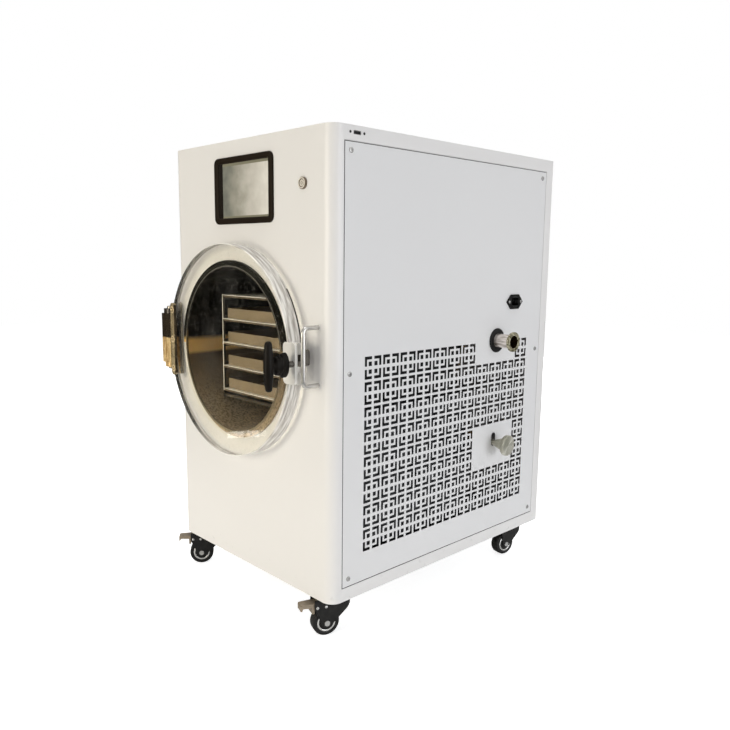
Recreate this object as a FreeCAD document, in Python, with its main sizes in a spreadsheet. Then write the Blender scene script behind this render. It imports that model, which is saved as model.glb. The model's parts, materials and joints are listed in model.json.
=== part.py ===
"""Floor-standing laboratory freeze dryer with a round acrylic door, as a parametric FreeCAD document.

Millimetres. The floor is Z = 0, the cabinet's front face is Y = 0 with +Y towards the rear, and X = 0 is
the cabinet's middle, so +X is the side with the vents and the ports.
"""

import FreeCAD, Part
import os
import re

import Sketcher

os.makedirs("parts", exist_ok=True)
doc = FreeCAD.newDocument("freeze_dryer")

# ---------------------------------------------------------------- driving dimensions

DIMENSIONS = {
    # cabinet of folded sheet
    "cabinet_width": 488,
    "cabinet_depth": 642,
    "cabinet_height": 800,
    "floor_gap": 74,
    "corner_radius": 22,
    "sheet": 2,
    "tray_lip": 14,
    # vented panel let into the right side, as insets from that side's four edges
    "panel_front": 24,
    "panel_rear": 39,
    "panel_top": 24,
    "panel_bottom": 24,
    "panel_gap": 1,
    "ledge_in": 12,
    "ledge_out": 8,
    "panel_screw_radius": 4.5,
    "panel_screw_inset": 15,
    # vent motifs, each of four angle slots round a plain cross, on a square grid
    "vent_pitch": 44,
    "vent_motif": 39.4,
    "vent_slot": 4.4,
    "vent_bridge": 5.6,
    "vent_first_y": 73.9,
    "vent_first_up": 78.7,
    "vent_columns": 11,
    "vent_plain_first": 7,
    "vent_plain_count": 3,
    # rear panel
    "rear_side_inset": 34,
    "rear_end_inset": 40,
    "rear_overlap": 8,
    "louvre_width": 220,
    "louvre_height": 8,
    "louvre_pitch": 20,
    "louvre_count": 7,
    "louvre_first_up": 560,
    # screen and power button on the front, as heights above the cabinet's lower edge
    "bezel_half_width": 91,
    "bezel_low": 650.5,
    "bezel_high": 771,
    "bezel_side": 13,
    "bezel_end": 11,
    "bezel_proud": 4,
    "bezel_corner": 12,
    "glass_setback": 2.5,
    "button_x": 171,
    "button_up": 711.6,
    "button_radius": 10,
    "button_cap_radius": 6.4,
    # chamber and door, round one axis along Y
    "door_x": -18,
    "door_up": 419,
    "door_radius": 196,
    "door_thick": 30,
    "door_standoff": 6.5,
    "door_edge": 1.5,
    "chamber_radius": 152.5,
    "chamber_wall": 3,
    "chamber_length": 470,
    "chamber_end": 10,
    "flange_radius": 166,
    "flange_proud": 5.5,
    "seal_width": 4,
    "seal_depth": 2.5,
    "jacket_radius": 184,
    "jacket_length": 430,
    # rack, shelves and trays in the chamber
    "rack_half_width": 106,
    "rack_front": 47,
    "rack_length": 350,
    "rack_sheet": 2,
    "rack_post": 5,
    "shelf_pitch": 47.2,
    "shelf_sheet": 1.5,
    "shelf_lip": 5,
    "tray_half_width": 100,
    "tray_height": 20,
    "tray_setback": 9,
    "tray_wall": 1.2,
    # hinge at the door's left
    "hinge_x": -227,
    "hinge_y": -27,
    "hinge_up": 425.5,
    "hinge_pin_radius": 4,
    "running_gap": 0.06,
    "knuckle_height": 100,
    "knuckle_left": 13,
    "knuckle_right": 12.5,
    "leaf_height": 145.5,
    "leaf_width": 15,
    "leaf_x": -195.5,
    "leaf_thick": 5,
    "hinge_bolt_radius": 4.2,
    "hinge_bolt_pitch": 59,
    "lug_thick": 9.2,
    "lug_gap": 0.4,
    "bracket_height": 147,
    # latch at the door's right and the bent rod on the cabinet that it catches
    "latch_x": 193,
    "shaft_radius": 5.5,
    "claw_reach": 22,
    "claw_width": 12,
    "claw_front": -27.4,
    "claw_thick": 18,
    "latch_plate_height": 70,
    "latch_plate_left": 168,
    "latch_plate_right": 200.5,
    "latch_slot_height": 31,
    "latch_cheek_left": 178.7,
    "latch_cheek_rear": -28.5,
    "catch_x": 209,
    "catch_y": -32,
    "catch_up": 429.5,
    "catch_rod_radius": 4,
    "catch_half_height": 48.5,
    "catch_bend": 9,
    "grip_y": -89.5,
    "grip_half_length": 41,
    "grip_radius": 8.5,
    "grip_tip_radius": 6,
    "hub_half_width": 7,
    "hub_half_height": 20.5,
    "hub_front": -78,
    "hub_rear": -54,
    # ports in the vented panel
    "inlet_y": 502.3,
    "inlet_up": 504.8,
    "inlet_half_width": 27,
    "inlet_half_height": 15,
    "inlet_thick": 3.5,
    "inlet_screw_spacing": 40,
    "port_y": 447.6,
    "port_up": 427.8,
    "port_flange_radius": 20,
    "port_flange_thick": 3.5,
    "port_tube_radius": 14,
    "port_bore_radius": 12.5,
    "port_proud": 42,
    "grommet_radius": 24.7,
    "grommet_waist": 22,
    "drain_y": 448.4,
    "drain_up": 213,
    "drain_slot_half_width": 6.7,
    "drain_slot_top": 234.2,
    "drain_slot_bottom": 205.5,
    "drain_stem_radius": 5.8,
    "drain_knob_radius": 21.3,
    "drain_knob_thick": 8,
    "drain_proud": 40,
    "drain_line_radius": 8,
    "valve_depth": 64,
    "usb_y": 51.8,
    "usb_up": 789,
    # refrigeration in the lower part
    "fan_y": 235,
    "fan_up": 180,
    "fan_radius": 95,
    "fan_opening": 104,
    "fan_blades": 6,
    "fan_hub_radius": 24,
    "fan_shaft_radius": 4,
    "shroud_half": 145,
    "shroud_x": 168,
    "condenser_x": 188,
    "condenser_thick": 35,
    "compressor_x": -105,
    "compressor_y": 330,
    "compressor_radius": 72,
    "compressor_height": 160,
    # casters, drawn with the wheel trailing along +X from the swivel axis and then turned
    "caster_x": 206,
    "caster_front_y": 42,
    "caster_rear_y": 575,
    "heading_front_left": 235.3,
    "heading_front_right": 249.3,
    "heading_rear_left": 250,
    "heading_rear_right": 259.3,
    "caster_plate_half": 30,
    "caster_plate_thick": 2.5,
    "kingpin_radius": 5,
    "caster_trail": 19.5,
    "wheel_radius": 25,
    "wheel_half_width": 10,
    "axle_radius": 3,
    "axle_head_radius": 5,
    "axle_half_length": 15.5,
    "fork_half_width": 13.5,
    "fork_inner_half": 11,
    "fork_front": -28,
    "fork_rear": 33,
    "fork_top": 69,
    "pedal_x": 37,
    "pedal_z": 60,
    "pedal_pin_radius": 2,
    "pedal_half_width": 10.4,
    "pedal_reach": 30,
    "pedal_lip": 7,
}

sheet = doc.addObject("Spreadsheet::Sheet", "Sizes")
for row, (alias, value) in enumerate(DIMENSIONS.items(), start=1):
    sheet.set(f"A{row}", alias.replace("_", " "))
    sheet.set(f"B{row}", str(value))
    sheet.setAlias(f"B{row}", alias)
doc.recompute()

AXES = {"X": FreeCAD.Vector(1, 0, 0), "Y": FreeCAD.Vector(0, 1, 0), "Z": FreeCAD.Vector(0, 0, 1)}
nodes = []


# ---------------------------------------------------------------- how pieces are written down

def formula(rule):
    """A rule written with bare dimension names, as an expression on the spreadsheet."""
    return re.sub(r"[a-z_]+", lambda word: f"Sizes.{word[0]}" if word[0] in DIMENSIONS else word[0], str(rule))


def number(rule):
    """What a rule comes to."""
    return float(sheet.evalExpression(formula(rule)))


def bind(item, **rules):
    """Binds properties to rules; a double underscore stands for the dot in a property's path."""
    for path, rule in rules.items():
        item.setExpression(path.replace("__", "."), formula(rule))


def node(item, label):
    """Gives a finished sub-part its label, under which it is written out."""
    item.Label = label
    nodes.append(item)
    return item


def new_body(label):
    """A PartDesign body for one sub-part."""
    return node(doc.addObject("PartDesign::Body", label), label)


def sketch_on(body, plane, at="0", across="0", along="0"):
    """A sketch parallel to a plane of the body, crossing the third axis at a height, its origin moved."""
    sketch = body.newObject("Sketcher::SketchObject", f"{body.Name}_sketch")
    support = next(datum for datum in body.Origin.OriginFeatures if datum.Role == f"{plane}_Plane")
    sketch.AttachmentSupport = [(support, "")]
    sketch.MapMode = "FlatFace"
    height = f"-({at})" if plane == "XZ" else at
    bind(sketch, AttachmentOffset__Base__x=across, AttachmentOffset__Base__y=along)
    bind(sketch, AttachmentOffset__Base__z=height)
    doc.recompute()
    return sketch


def dimension(sketch, kind, where, rule):
    """One dimension of a sketch, bound to its rule."""
    index = sketch.addConstraint(Sketcher.Constraint(kind, *where, number(rule)))
    sketch.setExpression(f"Constraints[{index}]", formula(rule))


def outline(sketch, corners):
    """A closed outline of straight sides through corners given as rules."""
    points = [FreeCAD.Vector(number(x), number(y), 0) for x, y in corners]
    ends = points[1:] + points[:1]
    sides = [sketch.addGeometry(Part.LineSegment(a, b), False) for a, b in zip(points, ends)]
    for side, after in zip(sides, sides[1:] + sides[:1]):
        sketch.addConstraint(Sketcher.Constraint("Coincident", side, 2, after, 1))
    for side, (x, y) in zip(sides, corners):
        dimension(sketch, "DistanceX", (-1, 1, side, 1), x)
        dimension(sketch, "DistanceY", (-1, 1, side, 1), y)


def rectangle(sketch, left, low, right, high):
    """A rectangle between four rules."""
    outline(sketch, [(left, low), (right, low), (right, high), (left, high)])


def circle(sketch, x, y, radius):
    """A circle given by rules."""
    centre = FreeCAD.Vector(number(x), number(y), 0)
    ring = sketch.addGeometry(Part.Circle(centre, AXES["Z"], number(radius)), False)
    dimension(sketch, "DistanceX", (-1, 1, ring, 3), x)
    dimension(sketch, "DistanceY", (-1, 1, ring, 3), y)
    dimension(sketch, "Radius", (ring,), radius)


def extrusion(body, kind, sketch, length, reversed_when_facing):
    """A pad or pocket of the sketch, turned round when the sketch's facing has the wrong sign."""
    facing = sum(sketch.Placement.Rotation.multVec(AXES["Z"]))
    feature = body.newObject(f"PartDesign::{kind}", f"{body.Name}_{kind.lower()}")
    feature.Profile = sketch
    feature.Reversed = facing * reversed_when_facing > 0
    bind(feature, Length=length)
    doc.recompute()
    return feature


def pad(body, sketch, length):
    """Adds the sketch's material from its plane towards the axis's plus end."""
    return extrusion(body, "Pad", sketch, length, -1)


def pocket(body, sketch, length, towards=1):
    """Cuts the sketch out from its plane along its axis, and makes sure that something was cut."""
    before = body.Shape.Volume
    feature = extrusion(body, "Pocket", sketch, length, towards)
    if body.Shape.Volume > before - 0.01:
        raise RuntimeError(f"{body.Label}: {feature.Name} cuts nothing")
    return feature


def revolve(body, sketch, axis="V_Axis"):
    """Turns the sketch once round its own axis."""
    feature = body.newObject("PartDesign::Revolution", f"{body.Name}_revolution")
    feature.Profile = sketch
    feature.ReferenceAxis = (sketch, [axis])
    feature.Angle = 360
    doc.recompute()
    return feature


def dress(body, kind, size, wanted):
    """Rounds (Fillet) or bevels (Chamfer) the edges of the body so far that wanted() picks."""
    tip = body.Tip
    picked = [f"Edge{n}" for n, edge in enumerate(tip.Shape.Edges, start=1) if wanted(edge)]
    feature = body.newObject(f"PartDesign::{kind}", f"{body.Name}_{kind.lower()}")
    feature.Base = (tip, picked)
    bind(feature, **{"Radius" if kind == "Fillet" else "Size": size})
    doc.recompute()
    return feature


def hollow(body, wall, face_point):
    """Leaves a wall inside the body's outline, open at the face that holds a point."""
    tip = body.Tip
    near = Part.Vertex(FreeCAD.Vector(*[number(rule) for rule in face_point]))
    gaps = [face.distToShape(near)[0] for face in tip.Shape.Faces]
    feature = body.newObject("PartDesign::Thickness", f"{body.Name}_thickness")
    feature.Base = (tip, [f"Face{gaps.index(min(gaps)) + 1}"])
    feature.Reversed = True
    feature.Mode = 0
    feature.Join = 0
    bind(feature, Value=wall)
    doc.recompute()
    return feature


def along(axis, low=-1e9, high=1e9):
    """Picks straight edges parallel to an axis whose middle is between two heights over the floor."""

    def picked(edge):
        if not isinstance(edge.Curve, Part.Line):
            return False
        parallel = abs(edge.Curve.Direction.dot(AXES[axis])) > 0.999
        return parallel and low <= edge.CenterOfMass.z <= high

    return picked


def bent_path(sketch, corners, bend):
    """An open path of level and upright runs between corners, joined by tangent arcs of one radius."""
    points = [FreeCAD.Vector(number(x), number(y), 0) for x, y in corners]
    radius = number(bend)
    units = [(b - a).normalize() for a, b in zip(points, points[1:])]
    last = len(units) - 1
    runs = []
    for n, (a, b) in enumerate(zip(points, points[1:])):
        start = a + units[n] * radius if n > 0 else a
        end = b - units[n] * radius if n < last else b
        runs.append(sketch.addGeometry(Part.LineSegment(start, end), False))
        upright = corners[n][0] == corners[n + 1][0]
        sketch.addConstraint(Sketcher.Constraint("Vertical" if upright else "Horizontal", runs[n]))
        dimension(sketch, "DistanceX" if upright else "DistanceY", (-1, 1, runs[n], 1), corners[n][not upright])
    for n, corner in enumerate(points[1:-1]):
        start = corner - units[n] * radius
        end = corner + units[n + 1] * radius
        centre = start + units[n + 1] * radius
        middle = centre + (corner - centre).normalize() * radius
        arc = sketch.addGeometry(Part.Arc(start, middle, end), False)
        turns_left = units[n].cross(units[n + 1]).z > 0
        sketch.addConstraint(Sketcher.Constraint("Tangent", runs[n], 2, arc, 1 if turns_left else 2))
        sketch.addConstraint(Sketcher.Constraint("Tangent", arc, 2 if turns_left else 1, runs[n + 1], 1))
        dimension(sketch, "Radius", (arc,), bend)
    for run, end, corner, beside in ((runs[0], 1, corners[0], corners[1]), (runs[-1], 2, corners[-1], corners[-2])):
        level = corner[1] == beside[1]
        dimension(sketch, "DistanceX" if level else "DistanceY", (-1, 1, run, end), corner[not level])
    doc.recompute()


def pipe(body, profile, path):
    """Sweeps a profile along a path."""
    feature = body.newObject("PartDesign::AdditivePipe", f"{body.Name}_pipe")
    feature.Profile = profile
    feature.Spine = path
    doc.recompute()
    return feature


def row_of(body, feature, sketch, axis, length, count):
    """Repeats a feature in a row along one of the sketch's axes."""
    pattern = body.newObject("PartDesign::LinearPattern", f"{body.Name}_row")
    pattern.Originals = [feature]
    pattern.Direction = (sketch, [axis])
    bind(pattern, Length=length, Occurrences=count)
    body.Tip = pattern
    doc.recompute()


def ring_of(body, feature, sketch, count):
    """Repeats a feature round the axis that stands on the sketch's origin."""
    pattern = body.newObject("PartDesign::PolarPattern", f"{body.Name}_ring")
    pattern.Originals = [feature]
    pattern.Axis = (sketch, ["N_Axis"])
    pattern.Angle = 360
    bind(pattern, Occurrences=count)
    body.Tip = pattern
    doc.recompute()


def block(name, low, high):
    """A Part box between two corners given as rules."""
    item = doc.addObject("Part::Box", name)
    spans = [f"({b}) - ({a})" for a, b in zip(low, high)]
    bind(item, Length=spans[0], Width=spans[1], Height=spans[2])
    bind(item, Placement__Base__x=low[0], Placement__Base__y=low[1], Placement__Base__z=low[2])
    return item


def rod(name, start, axis, radius, length):
    """A Part cylinder from a starting point, along X, Y or Z."""
    item = doc.addObject("Part::Cylinder", name)
    item.Placement.Rotation = FreeCAD.Rotation(AXES["Z"], AXES[axis])
    bind(item, Radius=radius, Height=length)
    bind(item, Placement__Base__x=start[0], Placement__Base__y=start[1], Placement__Base__z=start[2])
    return item


def joined(label, pieces):
    """Several solids under one label: one piece if they touch, a group if they don't."""
    item = doc.addObject("Part::MultiFuse", label)
    item.Shapes = pieces
    doc.recompute()
    return item


RIGHT = "(cabinet_width / 2)"
DOOR_Z = "(floor_gap + door_up)"
DOOR_FRONT = "(-door_standoff - door_thick)"
HINGE_Z = "(floor_gap + hinge_up)"
DRAIN_Z = "(floor_gap + drain_up)"
PORT_Z = "(floor_gap + port_up)"
FAN_Z = "(floor_gap + fan_up)"
INLET_Z = "(floor_gap + inlet_up)"
TRAY_TOP = "(floor_gap + sheet)"


# ---------------------------------------------------------------- cabinet

def cabinet_shell():
    """Folded and welded cover: four walls and a top, open below."""
    body = new_body("cabinet_shell")
    plan = sketch_on(body, "XY", at="floor_gap")
    rectangle(plan, f"-{RIGHT}", "0", RIGHT, "cabinet_depth")
    pad(body, plan, "cabinet_height")
    dress(body, "Fillet", "corner_radius", along("Z"))
    hollow(body, "sheet", ("0", "cabinet_depth / 2", "floor_gap"))

    front = sketch_on(body, "XZ", at="-1")
    circle(front, "door_x", DOOR_Z, "chamber_radius + chamber_wall + 1")
    side = "(bezel_half_width - bezel_side / 2)"
    rectangle(front, f"-{side}", "floor_gap + bezel_low + bezel_end / 2",
              side, "floor_gap + bezel_high - bezel_end / 2")
    circle(front, "button_x", "floor_gap + button_up", "button_radius - 2")
    pocket(body, front, "sheet + 2")

    vented = sketch_on(body, "YZ", at=f"{RIGHT} + 1")
    rectangle(vented, "panel_front", "floor_gap + panel_bottom",
              "cabinet_depth - panel_rear", "floor_gap + cabinet_height - panel_top")
    rectangle(vented, "usb_y - 8.2", "floor_gap + usb_up - 3.2", "usb_y + 8.2", "floor_gap + usb_up + 3.2")
    pocket(body, vented, "sheet + 2", towards=-1)

    rear = sketch_on(body, "XZ", at="cabinet_depth - sheet - 1")
    rectangle(rear, f"-{RIGHT} + rear_side_inset", "floor_gap + rear_end_inset",
              f"{RIGHT} - rear_side_inset", "floor_gap + cabinet_height - rear_end_inset")
    pocket(body, rear, "sheet + 2")

    ledge = sketch_on(body, "YZ", at=f"{RIGHT} - 2 * sheet")
    rectangle(ledge, "panel_front - ledge_out", "floor_gap + panel_bottom - ledge_out",
              "cabinet_depth - panel_rear + ledge_out", "floor_gap + cabinet_height - panel_top + ledge_out")
    rectangle(ledge, "panel_front + ledge_in", "floor_gap + panel_bottom + ledge_in",
              "cabinet_depth - panel_rear - ledge_in", "floor_gap + cabinet_height - panel_top - ledge_in")
    pad(body, ledge, "sheet")


def base_tray():
    """Floor pan inside the cover's lower edge, with an upturned lip, which carries the heavy parts."""
    body = new_body("base_tray")
    plan = sketch_on(body, "XY", at="floor_gap")
    rectangle(plan, f"-{RIGHT} + sheet", "sheet", f"{RIGHT} - sheet", "cabinet_depth - sheet")
    pad(body, plan, "tray_lip")
    dress(body, "Fillet", "corner_radius - sheet", along("Z"))
    hollow(body, "sheet", ("0", "cabinet_depth / 2", "floor_gap + tray_lip"))


def rear_panel():
    """Service panel fixed on from inside, with a row of louvre slots near its top."""
    body = new_body("rear_panel")
    plate = sketch_on(body, "XZ", at="cabinet_depth - 2 * sheet")
    side = f"({RIGHT} - rear_side_inset + rear_overlap)"
    rectangle(plate, f"-{side}", "floor_gap + rear_end_inset - rear_overlap",
              side, "floor_gap + cabinet_height - rear_end_inset + rear_overlap")
    pad(body, plate, "sheet")
    slot = sketch_on(body, "XZ", at="cabinet_depth - 2 * sheet - 1")
    rectangle(slot, "-louvre_width / 2", "floor_gap + louvre_first_up",
              "louvre_width / 2", "floor_gap + louvre_first_up + louvre_height")
    first = pocket(body, slot, "sheet + 2")
    row_of(body, first, slot, "V_Axis", "louvre_pitch * (louvre_count - 1)", "louvre_count")


# ---------------------------------------------------------------- vented side panel

def wire_through(points):
    """A closed wire in the panel's plane through (y, z) points."""
    corners = [FreeCAD.Vector(0, y, z) for y, z in points]
    return Part.makePolygon(corners + corners[:1])


def motif_slots(y, z):
    """The four angle slots of one motif, whose lower front corner is at (y, z)."""
    half = number("vent_motif / 2")
    slot = number("vent_slot")
    arm = number("(vent_motif - vent_bridge) / 2")
    angle = ((0, 0), (arm, 0), (arm, slot), (slot, slot), (slot, arm), (0, arm))
    slots = []
    for turn_y in (1, -1):
        for turn_z in (1, -1):
            slots.append([(y + half - turn_y * (half - across), z + half - turn_z * (half - up))
                          for across, up in angle])
    return slots


def obround(y, low, high, half_width):
    """A closed upright slot with round ends."""
    at = [FreeCAD.Vector(0, y + side, z) for side, z in
          ((-half_width, high - half_width), (0, high), (half_width, high - half_width),
           (half_width, low + half_width), (0, low), (-half_width, low + half_width))]
    edges = [Part.Arc(at[0], at[1], at[2]).toShape(), Part.LineSegment(at[2], at[3]).toShape(),
             Part.Arc(at[3], at[4], at[5]).toShape(), Part.LineSegment(at[5], at[0]).toShape()]
    return Part.Wire(edges)


def inlet_corners(trim_width, trim_height):
    """Corners of the appliance inlet's stretched hexagon, trimmed all round, as rules."""
    half = f"(inlet_half_width - {trim_width})"
    flat = f"({half} * 0.48)"
    high = f"(inlet_half_height - {trim_height})"
    return [(f"inlet_y - {half}", INLET_Z), (f"inlet_y - {flat}", f"{INLET_Z} - {high}"),
            (f"inlet_y + {flat}", f"{INLET_Z} - {high}"), (f"inlet_y + {half}", INLET_Z),
            (f"inlet_y + {flat}", f"{INLET_Z} + {high}"), (f"inlet_y - {flat}", f"{INLET_Z} + {high}")]


def side_panel_right():
    """Flush vented panel: a grid of motifs, with plain fields for the ports and in the top row."""
    front = number("panel_front + panel_gap")
    rear = number("cabinet_depth - panel_rear - panel_gap")
    low = number("floor_gap + panel_bottom + panel_gap")
    high = number("floor_gap + cabinet_height - panel_top - panel_gap")
    wires = [wire_through([(front, low), (rear, low), (rear, high), (front, high)])]
    full = range(int(number("vent_columns")))
    first_plain = number("vent_plain_first")
    last_plain = number("vent_plain_first + vent_plain_count - 1")
    broken = [column for column in full if not first_plain <= column <= last_plain]
    for row, columns in enumerate((full, full, broken, broken, full, full, full, broken)):
        for column in columns:
            y = number("vent_first_y") + column * number("vent_pitch")
            z = number("floor_gap + vent_first_up") + row * number("vent_pitch")
            wires.extend(wire_through(points) for points in motif_slots(y, z))
    wires.append(wire_through([(number(y), number(z)) for y, z in inlet_corners("4", "2")]))
    port = Part.Circle(FreeCAD.Vector(0, number("port_y"), number(PORT_Z)), AXES["X"], number("grommet_waist"))
    wires.append(Part.Wire(port.toShape()))
    wires.append(obround(number("drain_y"), number("floor_gap + drain_slot_bottom"),
                         number("floor_gap + drain_slot_top"), number("drain_slot_half_width")))
    panel = node(doc.addObject("Part::Feature", "side_panel_right"), "side_panel_right")
    face = Part.makeFace(wires, "Part::FaceMakerBullseye")
    panel.Shape = face.extrude(FreeCAD.Vector(number("sheet"), 0, 0))
    bind(panel, Placement__Base__x=f"{RIGHT} - sheet")


def panel_screws():
    """Pan-head screws in the corners and at mid-height of the vented panel."""
    heads = []
    for y in ("panel_front + panel_screw_inset", "cabinet_depth - panel_rear - panel_screw_inset"):
        for z in ("panel_bottom + panel_screw_inset", "cabinet_height / 2",
                  "cabinet_height - panel_top - panel_screw_inset"):
            heads.append(rod("panel_screw", (RIGHT, y, f"floor_gap + {z}"), "X", "panel_screw_radius", "1.6"))
    node(joined("panel_screws", heads), "panel_screws")


# ---------------------------------------------------------------- front controls

def screen_bezel():
    """Moulded frame round the screen."""
    body = new_body("screen_bezel")
    frame = sketch_on(body, "XZ", at="-bezel_proud")
    rectangle(frame, "-bezel_half_width", "floor_gap + bezel_low", "bezel_half_width", "floor_gap + bezel_high")
    pad(body, frame, "bezel_proud")
    dress(body, "Fillet", "bezel_corner", along("Y"))
    dress(body, "Chamfer", "1.2", lambda edge: abs(edge.BoundBox.YMax + number("bezel_proud")) < 0.01)
    window = sketch_on(body, "XZ", at="-bezel_proud - 1")
    side = "(bezel_half_width - bezel_side)"
    rectangle(window, f"-{side}", "floor_gap + bezel_low + bezel_end",
              side, "floor_gap + bezel_high - bezel_end")
    pocket(body, window, "bezel_proud + 2")


def touch_screen():
    """Glass set back in the bezel, on its module behind the front sheet."""
    body = new_body("touch_screen")
    glass = sketch_on(body, "XZ", at="-bezel_proud + glass_setback")
    side = "(bezel_half_width - bezel_side)"
    rectangle(glass, f"-{side}", "floor_gap + bezel_low + bezel_end",
              side, "floor_gap + bezel_high - bezel_end")
    pad(body, glass, "bezel_proud - glass_setback")
    module = sketch_on(body, "XZ", at="0")
    side = "(bezel_half_width - bezel_side / 2 - 0.5)"
    rectangle(module, f"-{side}", "floor_gap + bezel_low + bezel_end / 2 + 0.5",
              side, "floor_gap + bezel_high - bezel_end / 2 - 0.5")
    pad(body, module, "14")


def button_bezel():
    """Metal ring with a closed barrel through the sheet."""
    body = new_body("button_bezel")
    profile = sketch_on(body, "XY", at="floor_gap + button_up", across="button_x")
    inner = "(button_cap_radius + 0.3)"
    outline(profile, [(inner, "-bezel_proud"), ("button_radius - 1", "-bezel_proud"),
                      ("button_radius", "-bezel_proud + 1"), ("button_radius", "0"),
                      ("button_radius - 2", "0"), ("button_radius - 2", "15"), ("0", "15"), ("0", "14"),
                      (inner, "14")])
    revolve(body, profile)


def button_cap():
    """Dished cap that sinks into the ring."""
    body = new_body("button_cap")
    profile = sketch_on(body, "XY", at="floor_gap + button_up", across="button_x")
    outline(profile, [("0", "-3.2"), ("button_cap_radius - 1", "-3.6"), ("button_cap_radius", "-2.8"),
                      ("button_cap_radius", "10"), ("0", "10")])
    revolve(body, profile)


def usb_port():
    """Socket behind the narrow strip above the vented panel."""
    shell = block("usb_shell", (f"{RIGHT} - 16", "usb_y - 8", "floor_gap + usb_up - 3"),
                  (f"{RIGHT} - 0.5", "usb_y + 8", "floor_gap + usb_up + 3"))
    mouth = block("usb_mouth", (f"{RIGHT} - 13", "usb_y - 7.2", "floor_gap + usb_up - 2.2"),
                  (RIGHT, "usb_y + 7.2", "floor_gap + usb_up + 2.2"))
    tongue = block("usb_tongue", (f"{RIGHT} - 13.5", "usb_y - 6", "floor_gap + usb_up - 0.2"),
                   (f"{RIGHT} - 2", "usb_y + 6", "floor_gap + usb_up + 1.8"))
    socket = doc.addObject("Part::Cut", "usb_socket")
    socket.Base = shell
    socket.Tool = mouth
    node(joined("usb_port", [socket, tongue]), "usb_port")


# ---------------------------------------------------------------- chamber and door

def vacuum_chamber():
    """Turned tank with a rebated front flange that stands on the cabinet's face."""
    body = new_body("vacuum_chamber")
    profile = sketch_on(body, "XY", at=DOOR_Z, across="door_x")
    seat = "(seal_depth - flange_proud)"
    seal = "(chamber_radius + seal_width)"
    wall = "(chamber_radius + chamber_wall)"
    outline(profile, [("chamber_radius", seat), (seal, seat), (seal, "-flange_proud"),
                      ("flange_radius", "-flange_proud"), ("flange_radius", "0"), (wall, "0"),
                      (wall, "chamber_length"), ("chamber_radius", "chamber_length")])
    revolve(body, profile)
    side = sketch_on(body, "YZ", at="door_x")
    circle(side, "port_y", PORT_Z, "port_tube_radius + 0.05")
    pocket(body, side, "flange_radius")
    bottom = sketch_on(body, "XY", at=DOOR_Z)
    circle(bottom, "door_x", "drain_y", "drain_line_radius - 2")
    pocket(body, bottom, "flange_radius", towards=-1)


def chamber_end():
    """Flat end plate welded on behind the tank."""
    body = new_body("chamber_end")
    plate = sketch_on(body, "XZ", at="chamber_length")
    circle(plate, "door_x", DOOR_Z, "chamber_radius + chamber_wall")
    pad(body, plate, "chamber_end")


def ring_body(label, inner, outer, front, rear):
    """A plain ring round the chamber's axis."""
    body = new_body(label)
    profile = sketch_on(body, "XY", at=DOOR_Z, across="door_x")
    rectangle(profile, inner, front, outer, rear)
    revolve(body, profile)


def door_disc():
    """Thick clear disc with bevelled edges."""
    body = new_body("door_disc")
    profile = sketch_on(body, "XY", at=DOOR_Z, across="door_x")
    outline(profile, [("0", DOOR_FRONT), ("door_radius - door_edge", DOOR_FRONT),
                      ("door_radius", f"{DOOR_FRONT} + door_edge"),
                      ("door_radius", "-door_standoff - door_edge"),
                      ("door_radius - door_edge", "-door_standoff"), ("0", "-door_standoff")])
    revolve(body, profile)


# ---------------------------------------------------------------- rack

RACK_LEFT = "(door_x - rack_half_width)"
RACK_RIGHT = "(door_x + rack_half_width)"
RACK_REAR = "(rack_front + rack_length)"
RACK_FOOT = f"({DOOR_Z} - sqrt(chamber_radius ^ 2 - rack_half_width ^ 2) + 0.05)"


def shelf_height(level):
    """Top of a shelf above the floor, with level 1 the uppermost."""
    return f"({DOOR_Z} + (3 - {level}) * shelf_pitch + 3)"


def rack_frame():
    """Two side plates with windows between the shelves, tied by cross bars under the lowest one."""
    body = new_body("rack_frame")
    inner_left = f"{RACK_LEFT} + rack_sheet"
    inner_right = f"{RACK_RIGHT} - rack_sheet"
    top = f"({shelf_height(1)} + 1)"
    low = f"({RACK_FOOT} + 2)"
    high = f"({RACK_FOOT} + 8)"
    front = sketch_on(body, "XZ", at="rack_front")
    outline(front, [(RACK_LEFT, RACK_FOOT), (inner_left, RACK_FOOT), (inner_left, low), (inner_right, low),
                    (inner_right, RACK_FOOT), (RACK_RIGHT, RACK_FOOT), (RACK_RIGHT, top), (inner_right, top),
                    (inner_right, high), (inner_left, high), (inner_left, top), (RACK_LEFT, top)])
    pad(body, front, "rack_length")
    between = sketch_on(body, "XY", at=low)
    rectangle(between, inner_left, "rack_front + 12", inner_right, f"{RACK_REAR} - 12")
    pocket(body, between, "6")
    windows = sketch_on(body, "YZ", at=f"{RACK_LEFT} - 1")
    for level in range(1, 5):
        rectangle(windows, "rack_front + rack_post", f"{shelf_height(level + 1)} + 6",
                  f"{RACK_REAR} - 4 * rack_post", f"{shelf_height(level)} - 9")
    pocket(body, windows, "2 * rack_half_width + 2")


def shelf(level):
    """Folded sheet shelf with a lip turned down at the front and the rear."""
    body = new_body(f"shelf_{level}")
    side = sketch_on(body, "YZ", at=f"{RACK_LEFT} + rack_sheet")
    top = shelf_height(level)
    under = f"{top} - shelf_sheet"
    lip = f"{top} - shelf_lip"
    outline(side, [("rack_front", top), ("rack_front", lip), ("rack_front + shelf_sheet", lip),
                   ("rack_front + shelf_sheet", under), (f"{RACK_REAR} - shelf_sheet", under),
                   (f"{RACK_REAR} - shelf_sheet", lip), (RACK_REAR, lip), (RACK_REAR, top)])
    pad(body, side, "2 * (rack_half_width - rack_sheet)")


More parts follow.
